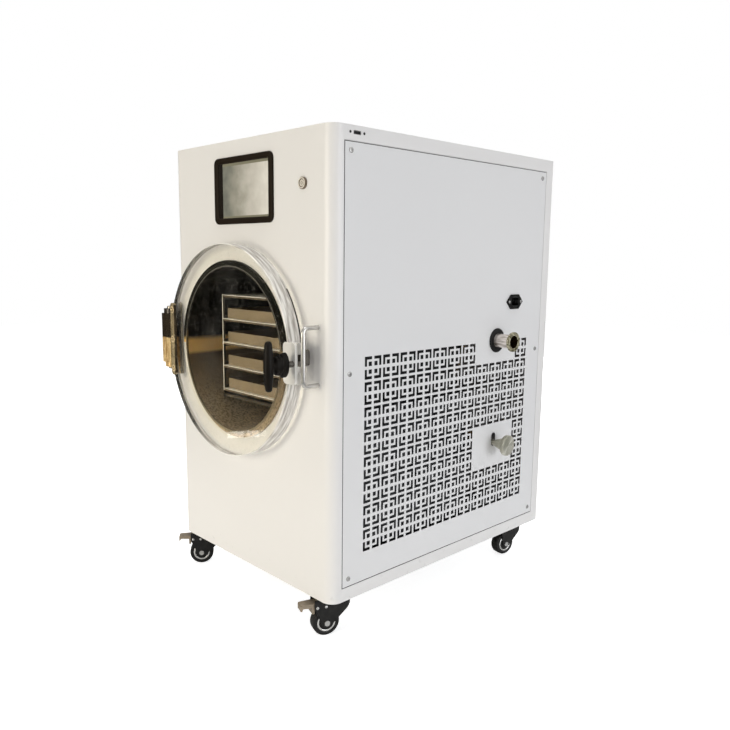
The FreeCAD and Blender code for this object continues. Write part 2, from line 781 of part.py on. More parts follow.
def tray(place):
    """Drawn sheet tray, open above, that stands on the shelf of the next place down."""
    body = new_body(f"tray_{place}")
    base = f"({shelf_height(place + 1)} + 0.2)"
    plan = sketch_on(body, "XY", at=base)
    rectangle(plan, "door_x - tray_half_width", "rack_front + tray_setback",
              "door_x + tray_half_width", f"{RACK_REAR} - 12")
    pad(body, plan, "tray_height")
    hollow(body, "tray_wall", ("door_x", "rack_front + rack_length / 2", f"{base} + tray_height"))


# ---------------------------------------------------------------- hinge

def hinge_bracket():
    """Fixed half of the hinge: a plate on the cabinet with two lugs that hold the pin."""
    body = new_body("hinge_bracket")
    plate = sketch_on(body, "XZ", at="-4")
    rectangle(plate, "hinge_x + 6", f"{HINGE_Z} - bracket_height / 2",
              "hinge_x + 31", f"{HINGE_Z} + bracket_height / 2")
    pad(body, plate, "4")
    dress(body, "Fillet", "6", along("Y"))
    reach = "(knuckle_height / 2 + lug_gap)"
    for low in (f"{HINGE_Z} + {reach}", f"{HINGE_Z} - {reach} - lug_thick"):
        lug = sketch_on(body, "XY", at=low)
        rectangle(lug, "hinge_x - knuckle_left", "hinge_y - knuckle_left", "hinge_x + 15", "-2")
        pad(body, lug, "lug_thick")
    nose = number("hinge_y") - 5
    dress(body, "Fillet", "knuckle_left - 1", lambda edge: along("Z")(edge) and edge.CenterOfMass.y < nose)
    pin = sketch_on(body, "XY", at=f"{HINGE_Z} - knuckle_height")
    circle(pin, "hinge_x", "hinge_y", "hinge_pin_radius + running_gap")
    pocket(body, pin, "2 * knuckle_height")


def hinge_pin():
    """Pin through both lugs, with a cap at each end."""
    body = new_body("hinge_pin")
    reach = "(knuckle_height / 2 + lug_gap + lug_thick)"
    profile = sketch_on(body, "XZ", at="hinge_y", across="hinge_x", along=HINGE_Z)
    outline(profile, [("0", f"-{reach} - 5"), ("6", f"-{reach} - 5"), ("7", f"-{reach} - 4"), ("7", f"-{reach}"),
                      ("hinge_pin_radius", f"-{reach}"), ("hinge_pin_radius", reach), ("7", reach),
                      ("7", f"{reach} + 4"), ("6", f"{reach} + 5"), ("0", f"{reach} + 5")])
    revolve(body, profile)


def hinge_leaf():
    """Moving half: a knuckle block round the pin, a bridge, and the long leaf bolted to the door."""
    body = new_body("hinge_leaf")
    front = f"({DOOR_FRONT} - leaf_thick)"
    leaf = sketch_on(body, "XZ", at=front)
    rectangle(leaf, "leaf_x - leaf_width / 2", f"{HINGE_Z} - leaf_height / 2",
              "leaf_x + leaf_width / 2", f"{HINGE_Z} + leaf_height / 2")
    pad(body, leaf, "leaf_thick")
    dress(body, "Fillet", "leaf_width / 2 - 0.2", along("Y"))
    half = "(knuckle_height / 2)"
    for right, thick in (("leaf_x - leaf_width / 4", "leaf_thick"),
                         ("hinge_x + knuckle_right", f"hinge_y + 15 - {front}")):
        part = sketch_on(body, "XZ", at=front)
        rectangle(part, "hinge_x - knuckle_left", f"{HINGE_Z} - {half}", right, f"{HINGE_Z} + {half}")
        pad(body, part, thick)
    outer = number("hinge_x") - 9
    dress(body, "Fillet", "3", lambda edge: along("Z")(edge) and edge.CenterOfMass.x < outer)
    pin = sketch_on(body, "XY", at=f"{HINGE_Z} - knuckle_height")
    circle(pin, "hinge_x", "hinge_y", "hinge_pin_radius + running_gap")
    pocket(body, pin, "2 * knuckle_height")


def hinge_bolts():
    """Three bolt heads in the leaf."""
    heads = [rod("hinge_bolt", ("leaf_x", f"{DOOR_FRONT} - leaf_thick - 3.2", f"{HINGE_Z} + ({row}) * hinge_bolt_pitch"),
                 "Y", "hinge_bolt_radius", "3.2") for row in (-1, 0, 1)]
    node(joined("hinge_bolts", heads), "hinge_bolts")


# ---------------------------------------------------------------- latch

def latch_block():
    """Plate on the door's face with cheeks past its rim, which carries the latch's shaft."""
    body = new_body("latch_block")
    plate = sketch_on(body, "XZ", at=f"{DOOR_FRONT} - leaf_thick")
    rectangle(plate, "latch_plate_left", f"{DOOR_Z} - latch_plate_height / 2",
              "latch_plate_right", f"{DOOR_Z} + latch_plate_height / 2")
    pad(body, plate, "leaf_thick")
    dress(body, "Fillet", "8", along("Y"))
    for low, high in (("latch_slot_height / 2", "latch_plate_height / 2"),
                      ("-latch_plate_height / 2", "-latch_slot_height / 2")):
        cheek = sketch_on(body, "XZ", at=DOOR_FRONT)
        rectangle(cheek, "latch_cheek_left", f"{DOOR_Z} + ({low})", "latch_plate_right - 1", f"{DOOR_Z} + {high}")
        pad(body, cheek, f"latch_cheek_rear - {DOOR_FRONT}")
    shaft = sketch_on(body, "XZ", at=f"{DOOR_FRONT} - leaf_thick - 1")
    circle(shaft, "latch_x", DOOR_Z, "shaft_radius + running_gap")
    pocket(body, shaft, "leaf_thick + 2")


def away_from_latch(distance):
    """Picks edges along Y that are some way above or below the latch's shaft."""
    middle = number(DOOR_Z)
    return lambda edge: along("Y")(edge) and abs(edge.CenterOfMass.z - middle) > distance


def latch_shaft():
    """Turning shaft with the claw across its rear end, upright when released."""
    body = new_body("latch_shaft")
    claw = sketch_on(body, "XZ", at="claw_front")
    rectangle(claw, "latch_x - claw_width / 2", f"{DOOR_Z} - claw_width / 2",
              "latch_x + claw_width / 2", f"{DOOR_Z} + claw_reach")
    pad(body, claw, "claw_thick")
    dress(body, "Fillet", "claw_width / 2 - 0.3", away_from_latch(5))
    shaft = sketch_on(body, "XZ", at="hub_rear")
    circle(shaft, "latch_x", DOOR_Z, "shaft_radius")
    pad(body, shaft, "claw_front + claw_thick / 2 - hub_rear")


def t_handle():
    """Cross grip, swelling in the middle, on a flattened hub."""
    body = new_body("t_handle")
    grip = sketch_on(body, "XZ", at="grip_y", across="latch_x", along=DOOR_Z)
    outline(grip, [("0", "-grip_half_length"), ("grip_tip_radius * 0.6", "-grip_half_length + 0.8"),
                   ("grip_tip_radius", "-grip_half_length + 4"), ("grip_radius - 0.6", "-grip_half_length / 2"),
                   ("grip_radius", "0"), ("grip_radius - 0.6", "grip_half_length / 2"),
                   ("grip_tip_radius", "grip_half_length - 4"),
                   ("grip_tip_radius * 0.6", "grip_half_length - 0.8"), ("0", "grip_half_length")])
    revolve(body, grip)
    neck = sketch_on(body, "XZ", at="grip_y")
    circle(neck, "latch_x", DOOR_Z, "hub_half_width - 0.2")
    pad(body, neck, "hub_front + 1 - grip_y")
    hub = sketch_on(body, "XZ", at="hub_front")
    rectangle(hub, "latch_x - hub_half_width", f"{DOOR_Z} - hub_half_height",
              "latch_x + hub_half_width", f"{DOOR_Z} + hub_half_height")
    pad(body, hub, "hub_rear - hub_front")
    dress(body, "Fillet", "hub_half_width - 0.3", away_from_latch(15))


def latch_catch():
    """Bent round rod whose legs stand on the cabinet's front."""
    body = new_body("latch_catch")
    path = sketch_on(body, "YZ", at="catch_x")
    top = "(floor_gap + catch_up + catch_half_height)"
    bottom = "(floor_gap + catch_up - catch_half_height)"
    bent_path(path, [("0", top), ("catch_y", top), ("catch_y", bottom), ("0", bottom)], "catch_bend")
    profile = sketch_on(body, "XZ", at="0")
    circle(profile, "catch_x", top, "catch_rod_radius")
    pipe(body, profile, path)


# ---------------------------------------------------------------- ports

def power_inlet():
    """Appliance inlet: stretched hexagonal flange with a recess and three pins."""
    body = new_body("power_inlet")
    flange = sketch_on(body, "YZ", at=RIGHT)
    outline(flange, inlet_corners("0", "0"))
    pad(body, flange, "inlet_thick")
    barrel = sketch_on(body, "YZ", at=f"{RIGHT} - 24")
    rectangle(barrel, "inlet_y - 13.5", f"{INLET_Z} - 9.8", "inlet_y + 13.5", f"{INLET_Z} + 9.8")
    pad(body, barrel, "24")
    recess = sketch_on(body, "YZ", at=f"{RIGHT} + inlet_thick + 1")
    rectangle(recess, "inlet_y - 11.5", f"{INLET_Z} - 8", "inlet_y + 11.5", f"{INLET_Z} + 8")
    pocket(body, recess, "19", towards=-1)
    pins = sketch_on(body, "YZ", at=f"{RIGHT} + inlet_thick - 19")
    for y, z in (("-7", "-1"), ("0", "2.5"), ("7", "-1")):
        rectangle(pins, f"inlet_y + {y} - 1", f"{INLET_Z} + {z} - 3", f"inlet_y + {y} + 1", f"{INLET_Z} + {z} + 3")
    pad(body, pins, "14")


def inlet_screws():
    """Two screws at the inlet's ends."""
    heads = [rod("inlet_screw", (f"{RIGHT} + inlet_thick", f"inlet_y + ({side}) * inlet_screw_spacing / 2", INLET_Z),
                 "X", "3.1", "1.5") for side in (-1, 1)]
    node(joined("inlet_screws", heads), "inlet_screws")


def vacuum_port():
    """Clamp flange and tube that run from outside the panel into the chamber's side."""
    body = new_body("vacuum_port")
    outer = f"({RIGHT} + port_proud)"
    root = "(door_x + chamber_radius - 3)"
    profile = sketch_on(body, "XY", at=PORT_Z, along="port_y")
    outline(profile, [(root, "port_bore_radius"), (outer, "port_bore_radius"), (outer, "port_flange_radius"),
                      (f"{outer} - port_flange_thick", "port_flange_radius"),
                      (f"{outer} - port_flange_thick - 2", "port_tube_radius"), (root, "port_tube_radius")])
    revolve(body, profile, "H_Axis")


def port_grommet():
    """Rubber ring clipped into the panel round the port's tube."""
    body = new_body("port_grommet")
    inside = f"({RIGHT} - sheet)"
    bore = "port_tube_radius + 0.1"
    profile = sketch_on(body, "XY", at=PORT_Z, along="port_y")
    outline(profile, [(f"{inside} - 2.5", bore), (f"{RIGHT} + 3", bore), (f"{RIGHT} + 3", "grommet_radius - 2"),
                      (f"{RIGHT} + 1.5", "grommet_radius"), (RIGHT, "grommet_radius"), (RIGHT, "grommet_waist"),
                      (inside, "grommet_waist"), (inside, "grommet_radius"), (f"{inside} - 2.5", "grommet_radius")])
    revolve(body, profile, "H_Axis")


def drain_valve():
    """Valve body inside the panel, its bore open towards the knob's stem."""
    body = new_body("drain_valve")
    profile = sketch_on(body, "XY", at=DRAIN_Z, along="drain_y")
    bore = "(drain_stem_radius + running_gap)"
    rear = f"({RIGHT} - valve_depth)"
    outline(profile, [(rear, "0"), (f"{RIGHT} - 41", "0"), (f"{RIGHT} - 41", bore), (f"{RIGHT} - 20", bore),
                      (f"{RIGHT} - 20", "11"), (f"{RIGHT} - 34", "14"), (rear, "14")])
    revolve(body, profile, "H_Axis")


def drain_line():
    """Tube from the chamber's lowest point down and across to the valve."""
    body = new_body("drain_line")
    path = sketch_on(body, "XZ", at="drain_y")
    top = f"({DOOR_Z} - chamber_radius - chamber_wall)"
    bent_path(path, [("door_x", top), ("door_x", DRAIN_Z), (f"{RIGHT} - valve_depth", DRAIN_Z)], "25")
    profile = sketch_on(body, "XY", at=top)
    circle(profile, "door_x", "drain_y", "drain_line_radius")
    pipe(body, profile, path)


def drain_knob():
    """Turned knob: stem, cone and disc."""
    body = new_body("drain_knob")
    outer = f"({RIGHT} + drain_proud)"
    root = f"({RIGHT} - 40)"
    profile = sketch_on(body, "XY", at=DRAIN_Z, along="drain_y")
    outline(profile, [(root, "0"), (f"{outer} - 1.5", "0"), (outer, "drain_knob_radius - 2.5"),
                      (f"{outer} - 2", "drain_knob_radius"), (f"{outer} - drain_knob_thick", "drain_knob_radius"),
                      (f"{outer} - drain_knob_thick - 1", "drain_knob_radius - 5"),
                      (f"{RIGHT} + 8", "drain_stem_radius + 1.5"), (f"{RIGHT} + 6", "drain_stem_radius"),
                      (root, "drain_stem_radius")])
    revolve(body, profile, "H_Axis")


# ---------------------------------------------------------------- refrigeration

def fan_shroud():
    """Plate with a round opening behind the condenser, and the fan's motor on crossed arms."""
    body = new_body("fan_shroud")
    plate = sketch_on(body, "YZ", at="shroud_x")
    rectangle(plate, "fan_y - shroud_half", TRAY_TOP, "fan_y + shroud_half", f"{FAN_Z} + shroud_half")
    pad(body, plate, "condenser_x - shroud_x")
    opening = sketch_on(body, "YZ", at="shroud_x - 1")
    circle(opening, "fan_y", FAN_Z, "fan_opening")
    pocket(body, opening, "condenser_x - shroud_x + 2")
    for half_y, half_z in (("(fan_opening + 8)", "6"), ("6", "(fan_opening + 8)")):
        arm = sketch_on(body, "YZ", at="shroud_x - 4")
        rectangle(arm, f"fan_y - {half_y}", f"{FAN_Z} - {half_z}", f"fan_y + {half_y}", f"{FAN_Z} + {half_z}")
        pad(body, arm, "4")
    for radius, front, length in (("26", "shroud_x - 40", "40"), ("fan_shaft_radius", "shroud_x - 1", "11")):
        motor = sketch_on(body, "YZ", at=front)
        circle(motor, "fan_y", FAN_Z, radius)
        pad(body, motor, length)


def fan_rotor():
    """Hub on the motor's shaft with slanted blades, drawn round its own axis."""
    body = new_body("fan_rotor")
    hub = sketch_on(body, "YZ", at="0")
    circle(hub, "0", "0", "fan_hub_radius")
    pad(body, hub, "14")
    blade = sketch_on(body, "XY", at="fan_hub_radius - 4")
    outline(blade, [("1", "-14"), ("2.6", "-14"), ("13", "14"), ("11.4", "14")])
    first = pad(body, blade, "fan_radius - fan_hub_radius + 4")
    ring_of(body, first, hub, "fan_blades")
    shaft = sketch_on(body, "YZ", at="-1")
    circle(shaft, "0", "0", "fan_shaft_radius + running_gap")
    pocket(body, shaft, "11")
    bind(body, Placement__Base__x="shroud_x + 1", Placement__Base__y="fan_y", Placement__Base__z=FAN_Z)


def condenser_coil():
    """Finned block between the shroud and the vents."""
    node(block("condenser_coil", ("condenser_x", "fan_y - shroud_half", TRAY_TOP),
               ("condenser_x + condenser_thick", "fan_y + shroud_half", f"{FAN_Z} + shroud_half")),
         "condenser_coil")


def compressor():
    """Domed pot with a belly seam on a foot plate."""
    body = new_body("compressor")
    foot = sketch_on(body, "XY", at=TRAY_TOP)
    rectangle(foot, "compressor_x - 85", "compressor_y - 55", "compressor_x + 85", "compressor_y + 55")
    pad(body, foot, "4")
    profile = sketch_on(body, "XZ", at="compressor_y", across="compressor_x", along=f"{TRAY_TOP} + 4")
    pot = "compressor_radius"
    outline(profile, [("0", "-1"), (f"{pot} * 0.6", "-1"), (pot, "18"), (pot, "compressor_height * 0.55"),
                      (f"{pot} + 3", "compressor_height * 0.57"), (f"{pot} + 3", "compressor_height * 0.6"),
                      (pot, "compressor_height * 0.62"), (f"{pot} * 0.93", "compressor_height * 0.8"),
                      (f"{pot} * 0.6", "compressor_height * 0.95"), ("0", "compressor_height")])
    revolve(body, profile)


def control_box():
    """Electronics case hung under the cabinet's top."""
    node(block("control_box", ("-200", "60", "floor_gap + 690"), ("60", "360", "floor_gap + cabinet_height - sheet")),
         "control_box")


# ---------------------------------------------------------------- casters

def caster_fork(corner, braked):
    """Hood and two cheeks; a braked one is longer and open between the cheeks for the pedal's root."""
    body = new_body(f"caster_fork_{corner}")
    roof = "(2 * wheel_radius + 3)"
    heel = "(pedal_x + 5)" if braked else "fork_rear"
    profile = sketch_on(body, "XZ", at="-fork_half_width")
    outline(profile, [("fork_front", f"{roof} + 3"), ("caster_trail - 7", "wheel_radius - 6.5"),
                      ("caster_trail + 7", "wheel_radius - 6.5"), (heel, f"{roof} + 1"), (heel, "fork_top"),
                      ("fork_front", "fork_top")])
    pad(body, profile, "2 * fork_half_width")
    nose = number("fork_front") + 1
    dress(body, "Fillet", "fork_half_width - 1.5", lambda edge: along("Z")(edge) and edge.CenterOfMass.x < nose)
    dress(body, "Fillet", "6", along("Y", high=20))
    gap = sketch_on(body, "XZ", at="-fork_inner_half")
    rectangle(gap, "fork_front - 1", "0", "pedal_x + 10", roof)
    pocket(body, gap, "2 * fork_inner_half")
    axle = sketch_on(body, "XZ", at="-fork_half_width - 1")
    circle(axle, "caster_trail", "wheel_radius", "axle_radius")
    pocket(body, axle, "2 * fork_half_width + 2")
    king = sketch_on(body, "XY", at=f"{roof} - 1")
    circle(king, "0", "0", "kingpin_radius + running_gap")
    pocket(body, king, "fork_top")
    if braked:
        mouth = sketch_on(body, "XZ", at="-fork_inner_half")
        rectangle(mouth, "pedal_x - 6", f"{roof} - 1", "pedal_x + 10", "fork_top + 1")
        pocket(body, mouth, "2 * fork_inner_half")
        pin = sketch_on(body, "XZ", at="-fork_half_width")
        circle(pin, "pedal_x", "pedal_z", "pedal_pin_radius")
        pad(body, pin, "2 * fork_half_width")
    return body


def caster_wheel(corner):
    """Tread and hub turned round the axle."""
    body = new_body(f"caster_wheel_{corner}")
    profile = sketch_on(body, "XY", at="wheel_radius", across="caster_trail")
    bore = "(axle_radius + running_gap)"
    face = "wheel_half_width"
    outline(profile, [(bore, f"-{face} - 0.5"), ("wheel_radius * 0.68", f"-{face}"), ("wheel_radius - 2", f"-{face}"),
                      ("wheel_radius", f"-{face} + 2"), ("wheel_radius", f"{face} - 2"),
                      ("wheel_radius - 2", face), ("wheel_radius * 0.68", face), (bore, f"{face} + 0.5")])
    revolve(body, profile)
    return body


def caster_axle(corner):
    """Axle with a head at each end."""
    body = new_body(f"caster_axle_{corner}")
    profile = sketch_on(body, "XY", at="wheel_radius", across="caster_trail")
    head = "axle_head_radius"
    outline(profile, [("0", "-axle_half_length"), (head, "-axle_half_length"), (head, "-fork_half_width"),
                      ("axle_radius", "-fork_half_width"), ("axle_radius", "fork_half_width"),
                      (head, "fork_half_width"), (head, "axle_half_length"), ("0", "axle_half_length")])
    revolve(body, profile)
    return body


def brake_pedal(corner):
    """Foot lever with a shoe that comes down on the tread."""
    body = new_body(f"brake_pedal_{corner}")
    profile = sketch_on(body, "XZ", at="-pedal_half_width", across="pedal_x", along="pedal_z")
    outline(profile, [("-4", "4"), ("-4", "-4"), ("4.5", "-6"), ("5", "-15"), ("9", "-15"), ("9", "-3.5"),
                      ("pedal_reach - 4", "-2.5"), ("pedal_reach - 2.4", "-pedal_lip"),
                      ("pedal_reach", "-pedal_lip"), ("pedal_reach", "1.4"), ("pedal_reach - 2", "3")])
    pad(body, profile, "2 * pedal_half_width")
    lip_middle = number("pedal_z - (pedal_lip - 1.4) / 2")
    dress(body, "Fillet", "2", along("Z", lip_middle - 0.5, lip_middle + 0.5))
    pin = sketch_on(body, "XZ", at="-pedal_half_width - 1", across="pedal_x", along="pedal_z")
    circle(pin, "0", "0", "pedal_pin_radius + running_gap")
    pocket(body, pin, "2 * pedal_half_width + 2")
    return body


def casters():
    """Four swivel casters under one set of plates; the front two have brakes."""
    plates = []
    for corner, side, y, braked in (("front_left", -1, "caster_front_y", True),
                                    ("front_right", 1, "caster_front_y", True),
                                    ("rear_left", -1, "caster_rear_y", False),
                                    ("rear_right", 1, "caster_rear_y", False)):
        x = f"{side} * caster_x"
        half = "caster_plate_half"
        plates.append(block("caster_plate", (f"{x} - {half}", f"{y} - {half}", "floor_gap - caster_plate_thick"),
                            (f"{x} + {half}", f"{y} + {half}", "floor_gap")))
        plates.append(rod("kingpin", (x, y, "fork_top - 12"), "Z", "kingpin_radius", "floor_gap - fork_top + 11"))
        pieces = [caster_fork(corner, braked), caster_wheel(corner), caster_axle(corner)]
        if braked:
            pieces.append(brake_pedal(corner))
        for piece in pieces:
            piece.Placement = FreeCAD.Placement(FreeCAD.Vector(), FreeCAD.Rotation(AXES["Z"], 1))
            bind(piece, Placement__Base__x=x, Placement__Base__y=y)
            bind(piece, Placement__Rotation__Angle=f"heading_{corner}")
    node(joined("caster_plates", plates), "caster_plates")


# ---------------------------------------------------------------- the whole object

cabinet_shell()
base_tray()
rear_panel()
side_panel_right()
panel_screws()
screen_bezel()
touch_screen()
button_bezel()
button_cap()
usb_port()
vacuum_chamber()
chamber_end()
ring_body("chamber_gasket", "chamber_radius", "chamber_radius + seal_width",
          "-door_standoff + 0.25", "seal_depth - flange_proud")
ring_body("chamber_jacket", "chamber_radius + chamber_wall", "jacket_radius", "sheet + 3", "jacket_length")
door_disc()
rack_frame()
for level in range(1, 6):
    shelf(level)
for place in range(1, 5):
    tray(place)
hinge_bracket()
hinge_pin()
hinge_leaf()
hinge_bolts()
latch_block()
latch_shaft()
t_handle()
latch_catch()
power_inlet()
inlet_screws()
vacuum_port()
port_grommet()
drain_valve()
drain_line()
drain_knob()
fan_shroud()
fan_rotor()
condenser_coil()
compressor()
control_box()
casters()
doc.recompute()

# ---------------------------------------------------------------- check and write out

for item in doc.Objects:
    if "Invalid" in item.State or "Error" in item.State:
        raise RuntimeError(f"{item.Name} has failed: {item.State}")
for item in nodes:
    if item.Shape.isNull() or not item.Shape.isValid() or item.Shape.Volume < 1:
        raise RuntimeError(f"{item.Label} is not a sound solid")
for item in nodes:
    item.Shape.exportStep(f"parts/{item.Label}.step")
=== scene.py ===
import json
import math

import bmesh
import bpy
from mathutils import Matrix, Vector
from mathutils.geometry import delaunay_2d_cdt


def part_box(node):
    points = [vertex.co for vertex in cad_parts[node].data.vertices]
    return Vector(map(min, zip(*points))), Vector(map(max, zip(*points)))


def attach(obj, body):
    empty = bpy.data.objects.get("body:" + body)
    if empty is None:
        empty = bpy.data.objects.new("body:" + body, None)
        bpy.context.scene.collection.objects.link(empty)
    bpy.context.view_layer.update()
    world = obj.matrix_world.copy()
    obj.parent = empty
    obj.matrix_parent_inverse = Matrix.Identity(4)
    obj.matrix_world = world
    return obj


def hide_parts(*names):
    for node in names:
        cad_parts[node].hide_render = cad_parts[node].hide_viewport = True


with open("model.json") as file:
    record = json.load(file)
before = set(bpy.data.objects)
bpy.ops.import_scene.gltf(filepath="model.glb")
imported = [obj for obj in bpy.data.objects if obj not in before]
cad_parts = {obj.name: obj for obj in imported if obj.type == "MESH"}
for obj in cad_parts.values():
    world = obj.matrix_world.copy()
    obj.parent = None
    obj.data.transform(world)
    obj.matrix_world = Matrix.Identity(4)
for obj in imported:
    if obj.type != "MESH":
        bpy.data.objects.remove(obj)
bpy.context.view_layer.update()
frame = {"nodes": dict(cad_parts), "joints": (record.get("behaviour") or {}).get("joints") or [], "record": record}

joints = {joint["name"]: joint for joint in frame["joints"]}

# Camera: a short standard lens that looks at the corner between the front and the vented side.
# It is held a little below the top of the cabinet, with the small tilt and roll of a hand.
camera_data = bpy.data.cameras.new("camera")
camera_data.lens = 35.50
camera_data.sensor_width = 36.0
camera_data.shift_x = -0.0007
camera_data.shift_y = 0.0058
camera = bpy.data.objects.new("camera", camera_data)
bpy.context.collection.objects.link(camera)
heading, dip, roll = math.radians(46.07), math.radians(8.86), math.radians(0.635)
forward = Vector((-math.sin(heading) * math.cos(dip), math.cos(heading) * math.cos(dip), -math.sin(dip)))
level_right = forward.cross(Vector((0, 0, 1))).normalized()
level_up = level_right.cross(forward)
right = level_right * math.cos(roll) + level_up * math.sin(roll)
up = level_up * math.cos(roll) - level_right * math.sin(roll)
stand = Vector((1.11381, -0.76242, 0.66724))
camera.matrix_world = Matrix.Translation(stand) @ Matrix((right, up, -forward)).transposed().to_4x4()
bpy.context.scene.camera = camera


# Studio: a pale sheet of paper on the floor, white to the eye, which still takes the shadow.
# The classes that write shaders are here, because the paper is the first thing that needs one.
def maths(operation, swapped=False):
    """An operator for Socket that adds one Math node."""
    def operator(self, other=None):
        values = [self] if other is None else [other, self] if swapped else [self, other]
        return self.tree.node("ShaderNodeMath", dict(enumerate(values)), operation=operation)

    return operator


class Socket:
    """A node's output that can be written into arithmetic."""

    __add__ = __radd__ = maths("ADD")
    __mul__ = __rmul__ = maths("MULTIPLY")
    __sub__ = maths("SUBTRACT")
    __rsub__ = maths("SUBTRACT", swapped=True)
    __truediv__ = maths("DIVIDE")
    __gt__ = maths("GREATER_THAN")
    __lt__ = maths("LESS_THAN")
    __abs__ = maths("ABSOLUTE")
    power = maths("POWER")
    sine = maths("SINE")
    at_least = maths("MAXIMUM")
    at_most = maths("MINIMUM")

    def __init__(self, tree, socket):
        self.tree = tree
        self.socket = socket

    def held(self):
        """The value held between 0 and 1."""
        return self.at_least(0.0).at_most(1.0)


class Tree:
    """A node tree that is written down node by node."""

    def node(self, kind, values=None, out=0, **settings):
        """Adds a node: its settings first, then the values or links of its sockets."""
        made = self.tree.nodes.new(kind)
        for key, value in settings.items():
            if key == "stops":
                elements = made.color_ramp.elements
                while len(elements) < len(value):
                    elements.new(0.5)
                for element, (place, colour) in zip(elements, value):
                    element.position = place
                    element.color = (*colour, 1.0)
            else:
                setattr(made, key, value)
        for key, value in (values or {}).items():
            socket = made.inputs[key]
            if isinstance(value, Socket):
                self.tree.links.new(value.socket, socket)
            elif socket.type == "RGBA":
                socket.default_value = (*value, 1.0)
            else:
                socket.default_value = value
        return Socket(self, made.outputs[out])

    def blend(self, factor, first, second):
        """A blend of two shaders."""
        return self.node("ShaderNodeMixShader", {0: factor, 1: first, 2: second})

    def rays(self):
        """Whether a ray looks straight at the studio, and whether it came by way of a mirroring surface."""
        kinds = ("Is Camera Ray", "Is Transmission Ray", "Is Glossy Ray", "Diffuse Depth", "Glossy Depth")
        seen, through, mirrored, scattered, bounced = [
            self.node("ShaderNodeLightPath", out=kind) for kind in kinds]
        return (seen + through - scattered - bounced).held(), mirrored, bounced


class Finish(Tree):
    """One material."""

    def __init__(self, name):
        self.material = bpy.data.materials.new(name)
        self.material.use_nodes = True
        self.tree = self.material.node_tree
        self.tree.nodes.clear()

    def place(self, axis=None):
        """Object coordinates in metres, or one of their components."""
        where = self.node("ShaderNodeTexCoord", out="Object")
        return where if axis is None else self.node("ShaderNodeSeparateXYZ", {0: where}, out=axis)

    def off(self, middle, axes="XZ"):
        """How far a point is from a middle along two axes, and straight."""
        across, over = [self.place(axis) - middle["XYZ".index(axis)] for axis in axes]
        return across, over, (across * across + over * over).power(0.5)

    def noise(self, size, detail=2.0, stretch=(1, 1, 1)):
        """Noise about 0.5 whose features are about size metres, drawn out where stretch is below 1."""
        scale = tuple(part / size for part in stretch)
        scaled = self.node("ShaderNodeMapping", {"Vector": self.place(), "Scale": scale})
        return self.node("ShaderNodeTexNoise", {"Vector": scaled, "Scale": 1.0, "Detail": detail})

    def ramp(self, value, stops):
        """Colours along a value from 0 to 1."""
        return self.node("ShaderNodeValToRGB", {0: value}, stops=stops)

    def mix(self, factor, first, second):
        """A blend of two colours."""
        return self.node("ShaderNodeMix", {0: factor, 6: first, 7: second}, out=2, data_type="RGBA")

    def bump(self, height, strength, distance):
        """A surface normal from a height."""
        return self.node("ShaderNodeBump", {"Height": height, "Strength": strength, "Distance": distance})

    def surface(self, **values):
        """Closes the material with the main shader, whose socket names are written with underscores."""
        named = {key.replace("_", " "): value for key, value in values.items()}
        return self.close(self.node("ShaderNodeBsdfPrincipled", named))

    def close(self, shader):
        """Closes the material."""
        end = self.tree.nodes.new("ShaderNodeOutputMaterial")
        self.tree.links.new(shader.socket, end.inputs["Surface"])
        return self.material


def solid(name, shape, material, sharp=30):
    """Turns a bmesh into an object with smooth shading up to an angle."""
    mesh = bpy.data.meshes.new(name)
    shape.to_mesh(mesh)
    shape.free()
    mesh.polygons.foreach_set("use_smooth", [True] * len(mesh.polygons))
    mesh.set_sharp_from_angle(angle=math.radians(sharp))
    piece = bpy.data.objects.new(name, mesh)
    bpy.context.collection.objects.link(piece)
    mesh.materials.append(material)
    return piece


paper = Finish("studio_paper")
direct, mirrored, bounced = paper.rays()
far = ((abs(paper.place("X")) + abs(paper.place("Y"))) * 0.8 - 0.6).held()
pale, dark = [paper.node("ShaderNodeBsdfDiffuse", {"Color": (grey, grey, grey)}) for grey in (0.80, 0.02)]
card = paper.blend(mirrored * far, pale, dark)
glow = paper.node("ShaderNodeEmission", {"Color": (1.0, 1.0, 1.0), "Strength": 0.76})
both = paper.node("ShaderNodeAddShader", {0: card, 1: glow})
paper.close(paper.blend(direct, card, both))
ground = bmesh.new()
bmesh.ops.create_grid(ground, x_segments=1, y_segments=1, size=6)
floor = solid("studio_floor", ground, paper.material)

world = bpy.data.worlds.new("studio")
world.use_nodes = True
world.node_tree.nodes.clear()
bpy.context.scene.world = world
room = Tree()
room.tree = world.node_tree
direct, mirrored, bounced = room.rays()
compass = room.node("ShaderNodeSeparateXYZ", {0: room.node("ShaderNodeTexCoord", out="Generated")})
east, north, overhead = [Socket(room, compass.socket.node.outputs[axis]) for axis in "XYZ"]
walls = (0.38 + 0.30 * east + 0.20 * north + 0.35 * overhead).held()
fill = room.node("ShaderNodeBackground", {"Color": (0.97, 0.985, 1.0), "Strength": 0.36})
dim = room.node("ShaderNodeBackground", {"Color": (1.0, 0.985, 0.96), "Strength": walls})
white = room.node("ShaderNodeBackground", {"Color": (1.0, 1.0, 1.0), "Strength": 1.0})
sky = room.blend(direct, room.blend((mirrored + bounced).held(), fill, dim), white)
room.tree.links.new(sky.socket, room.tree.nodes.new("ShaderNodeOutputWorld").inputs["Surface"])
bpy.context.scene.view_settings.view_transform = "Standard"


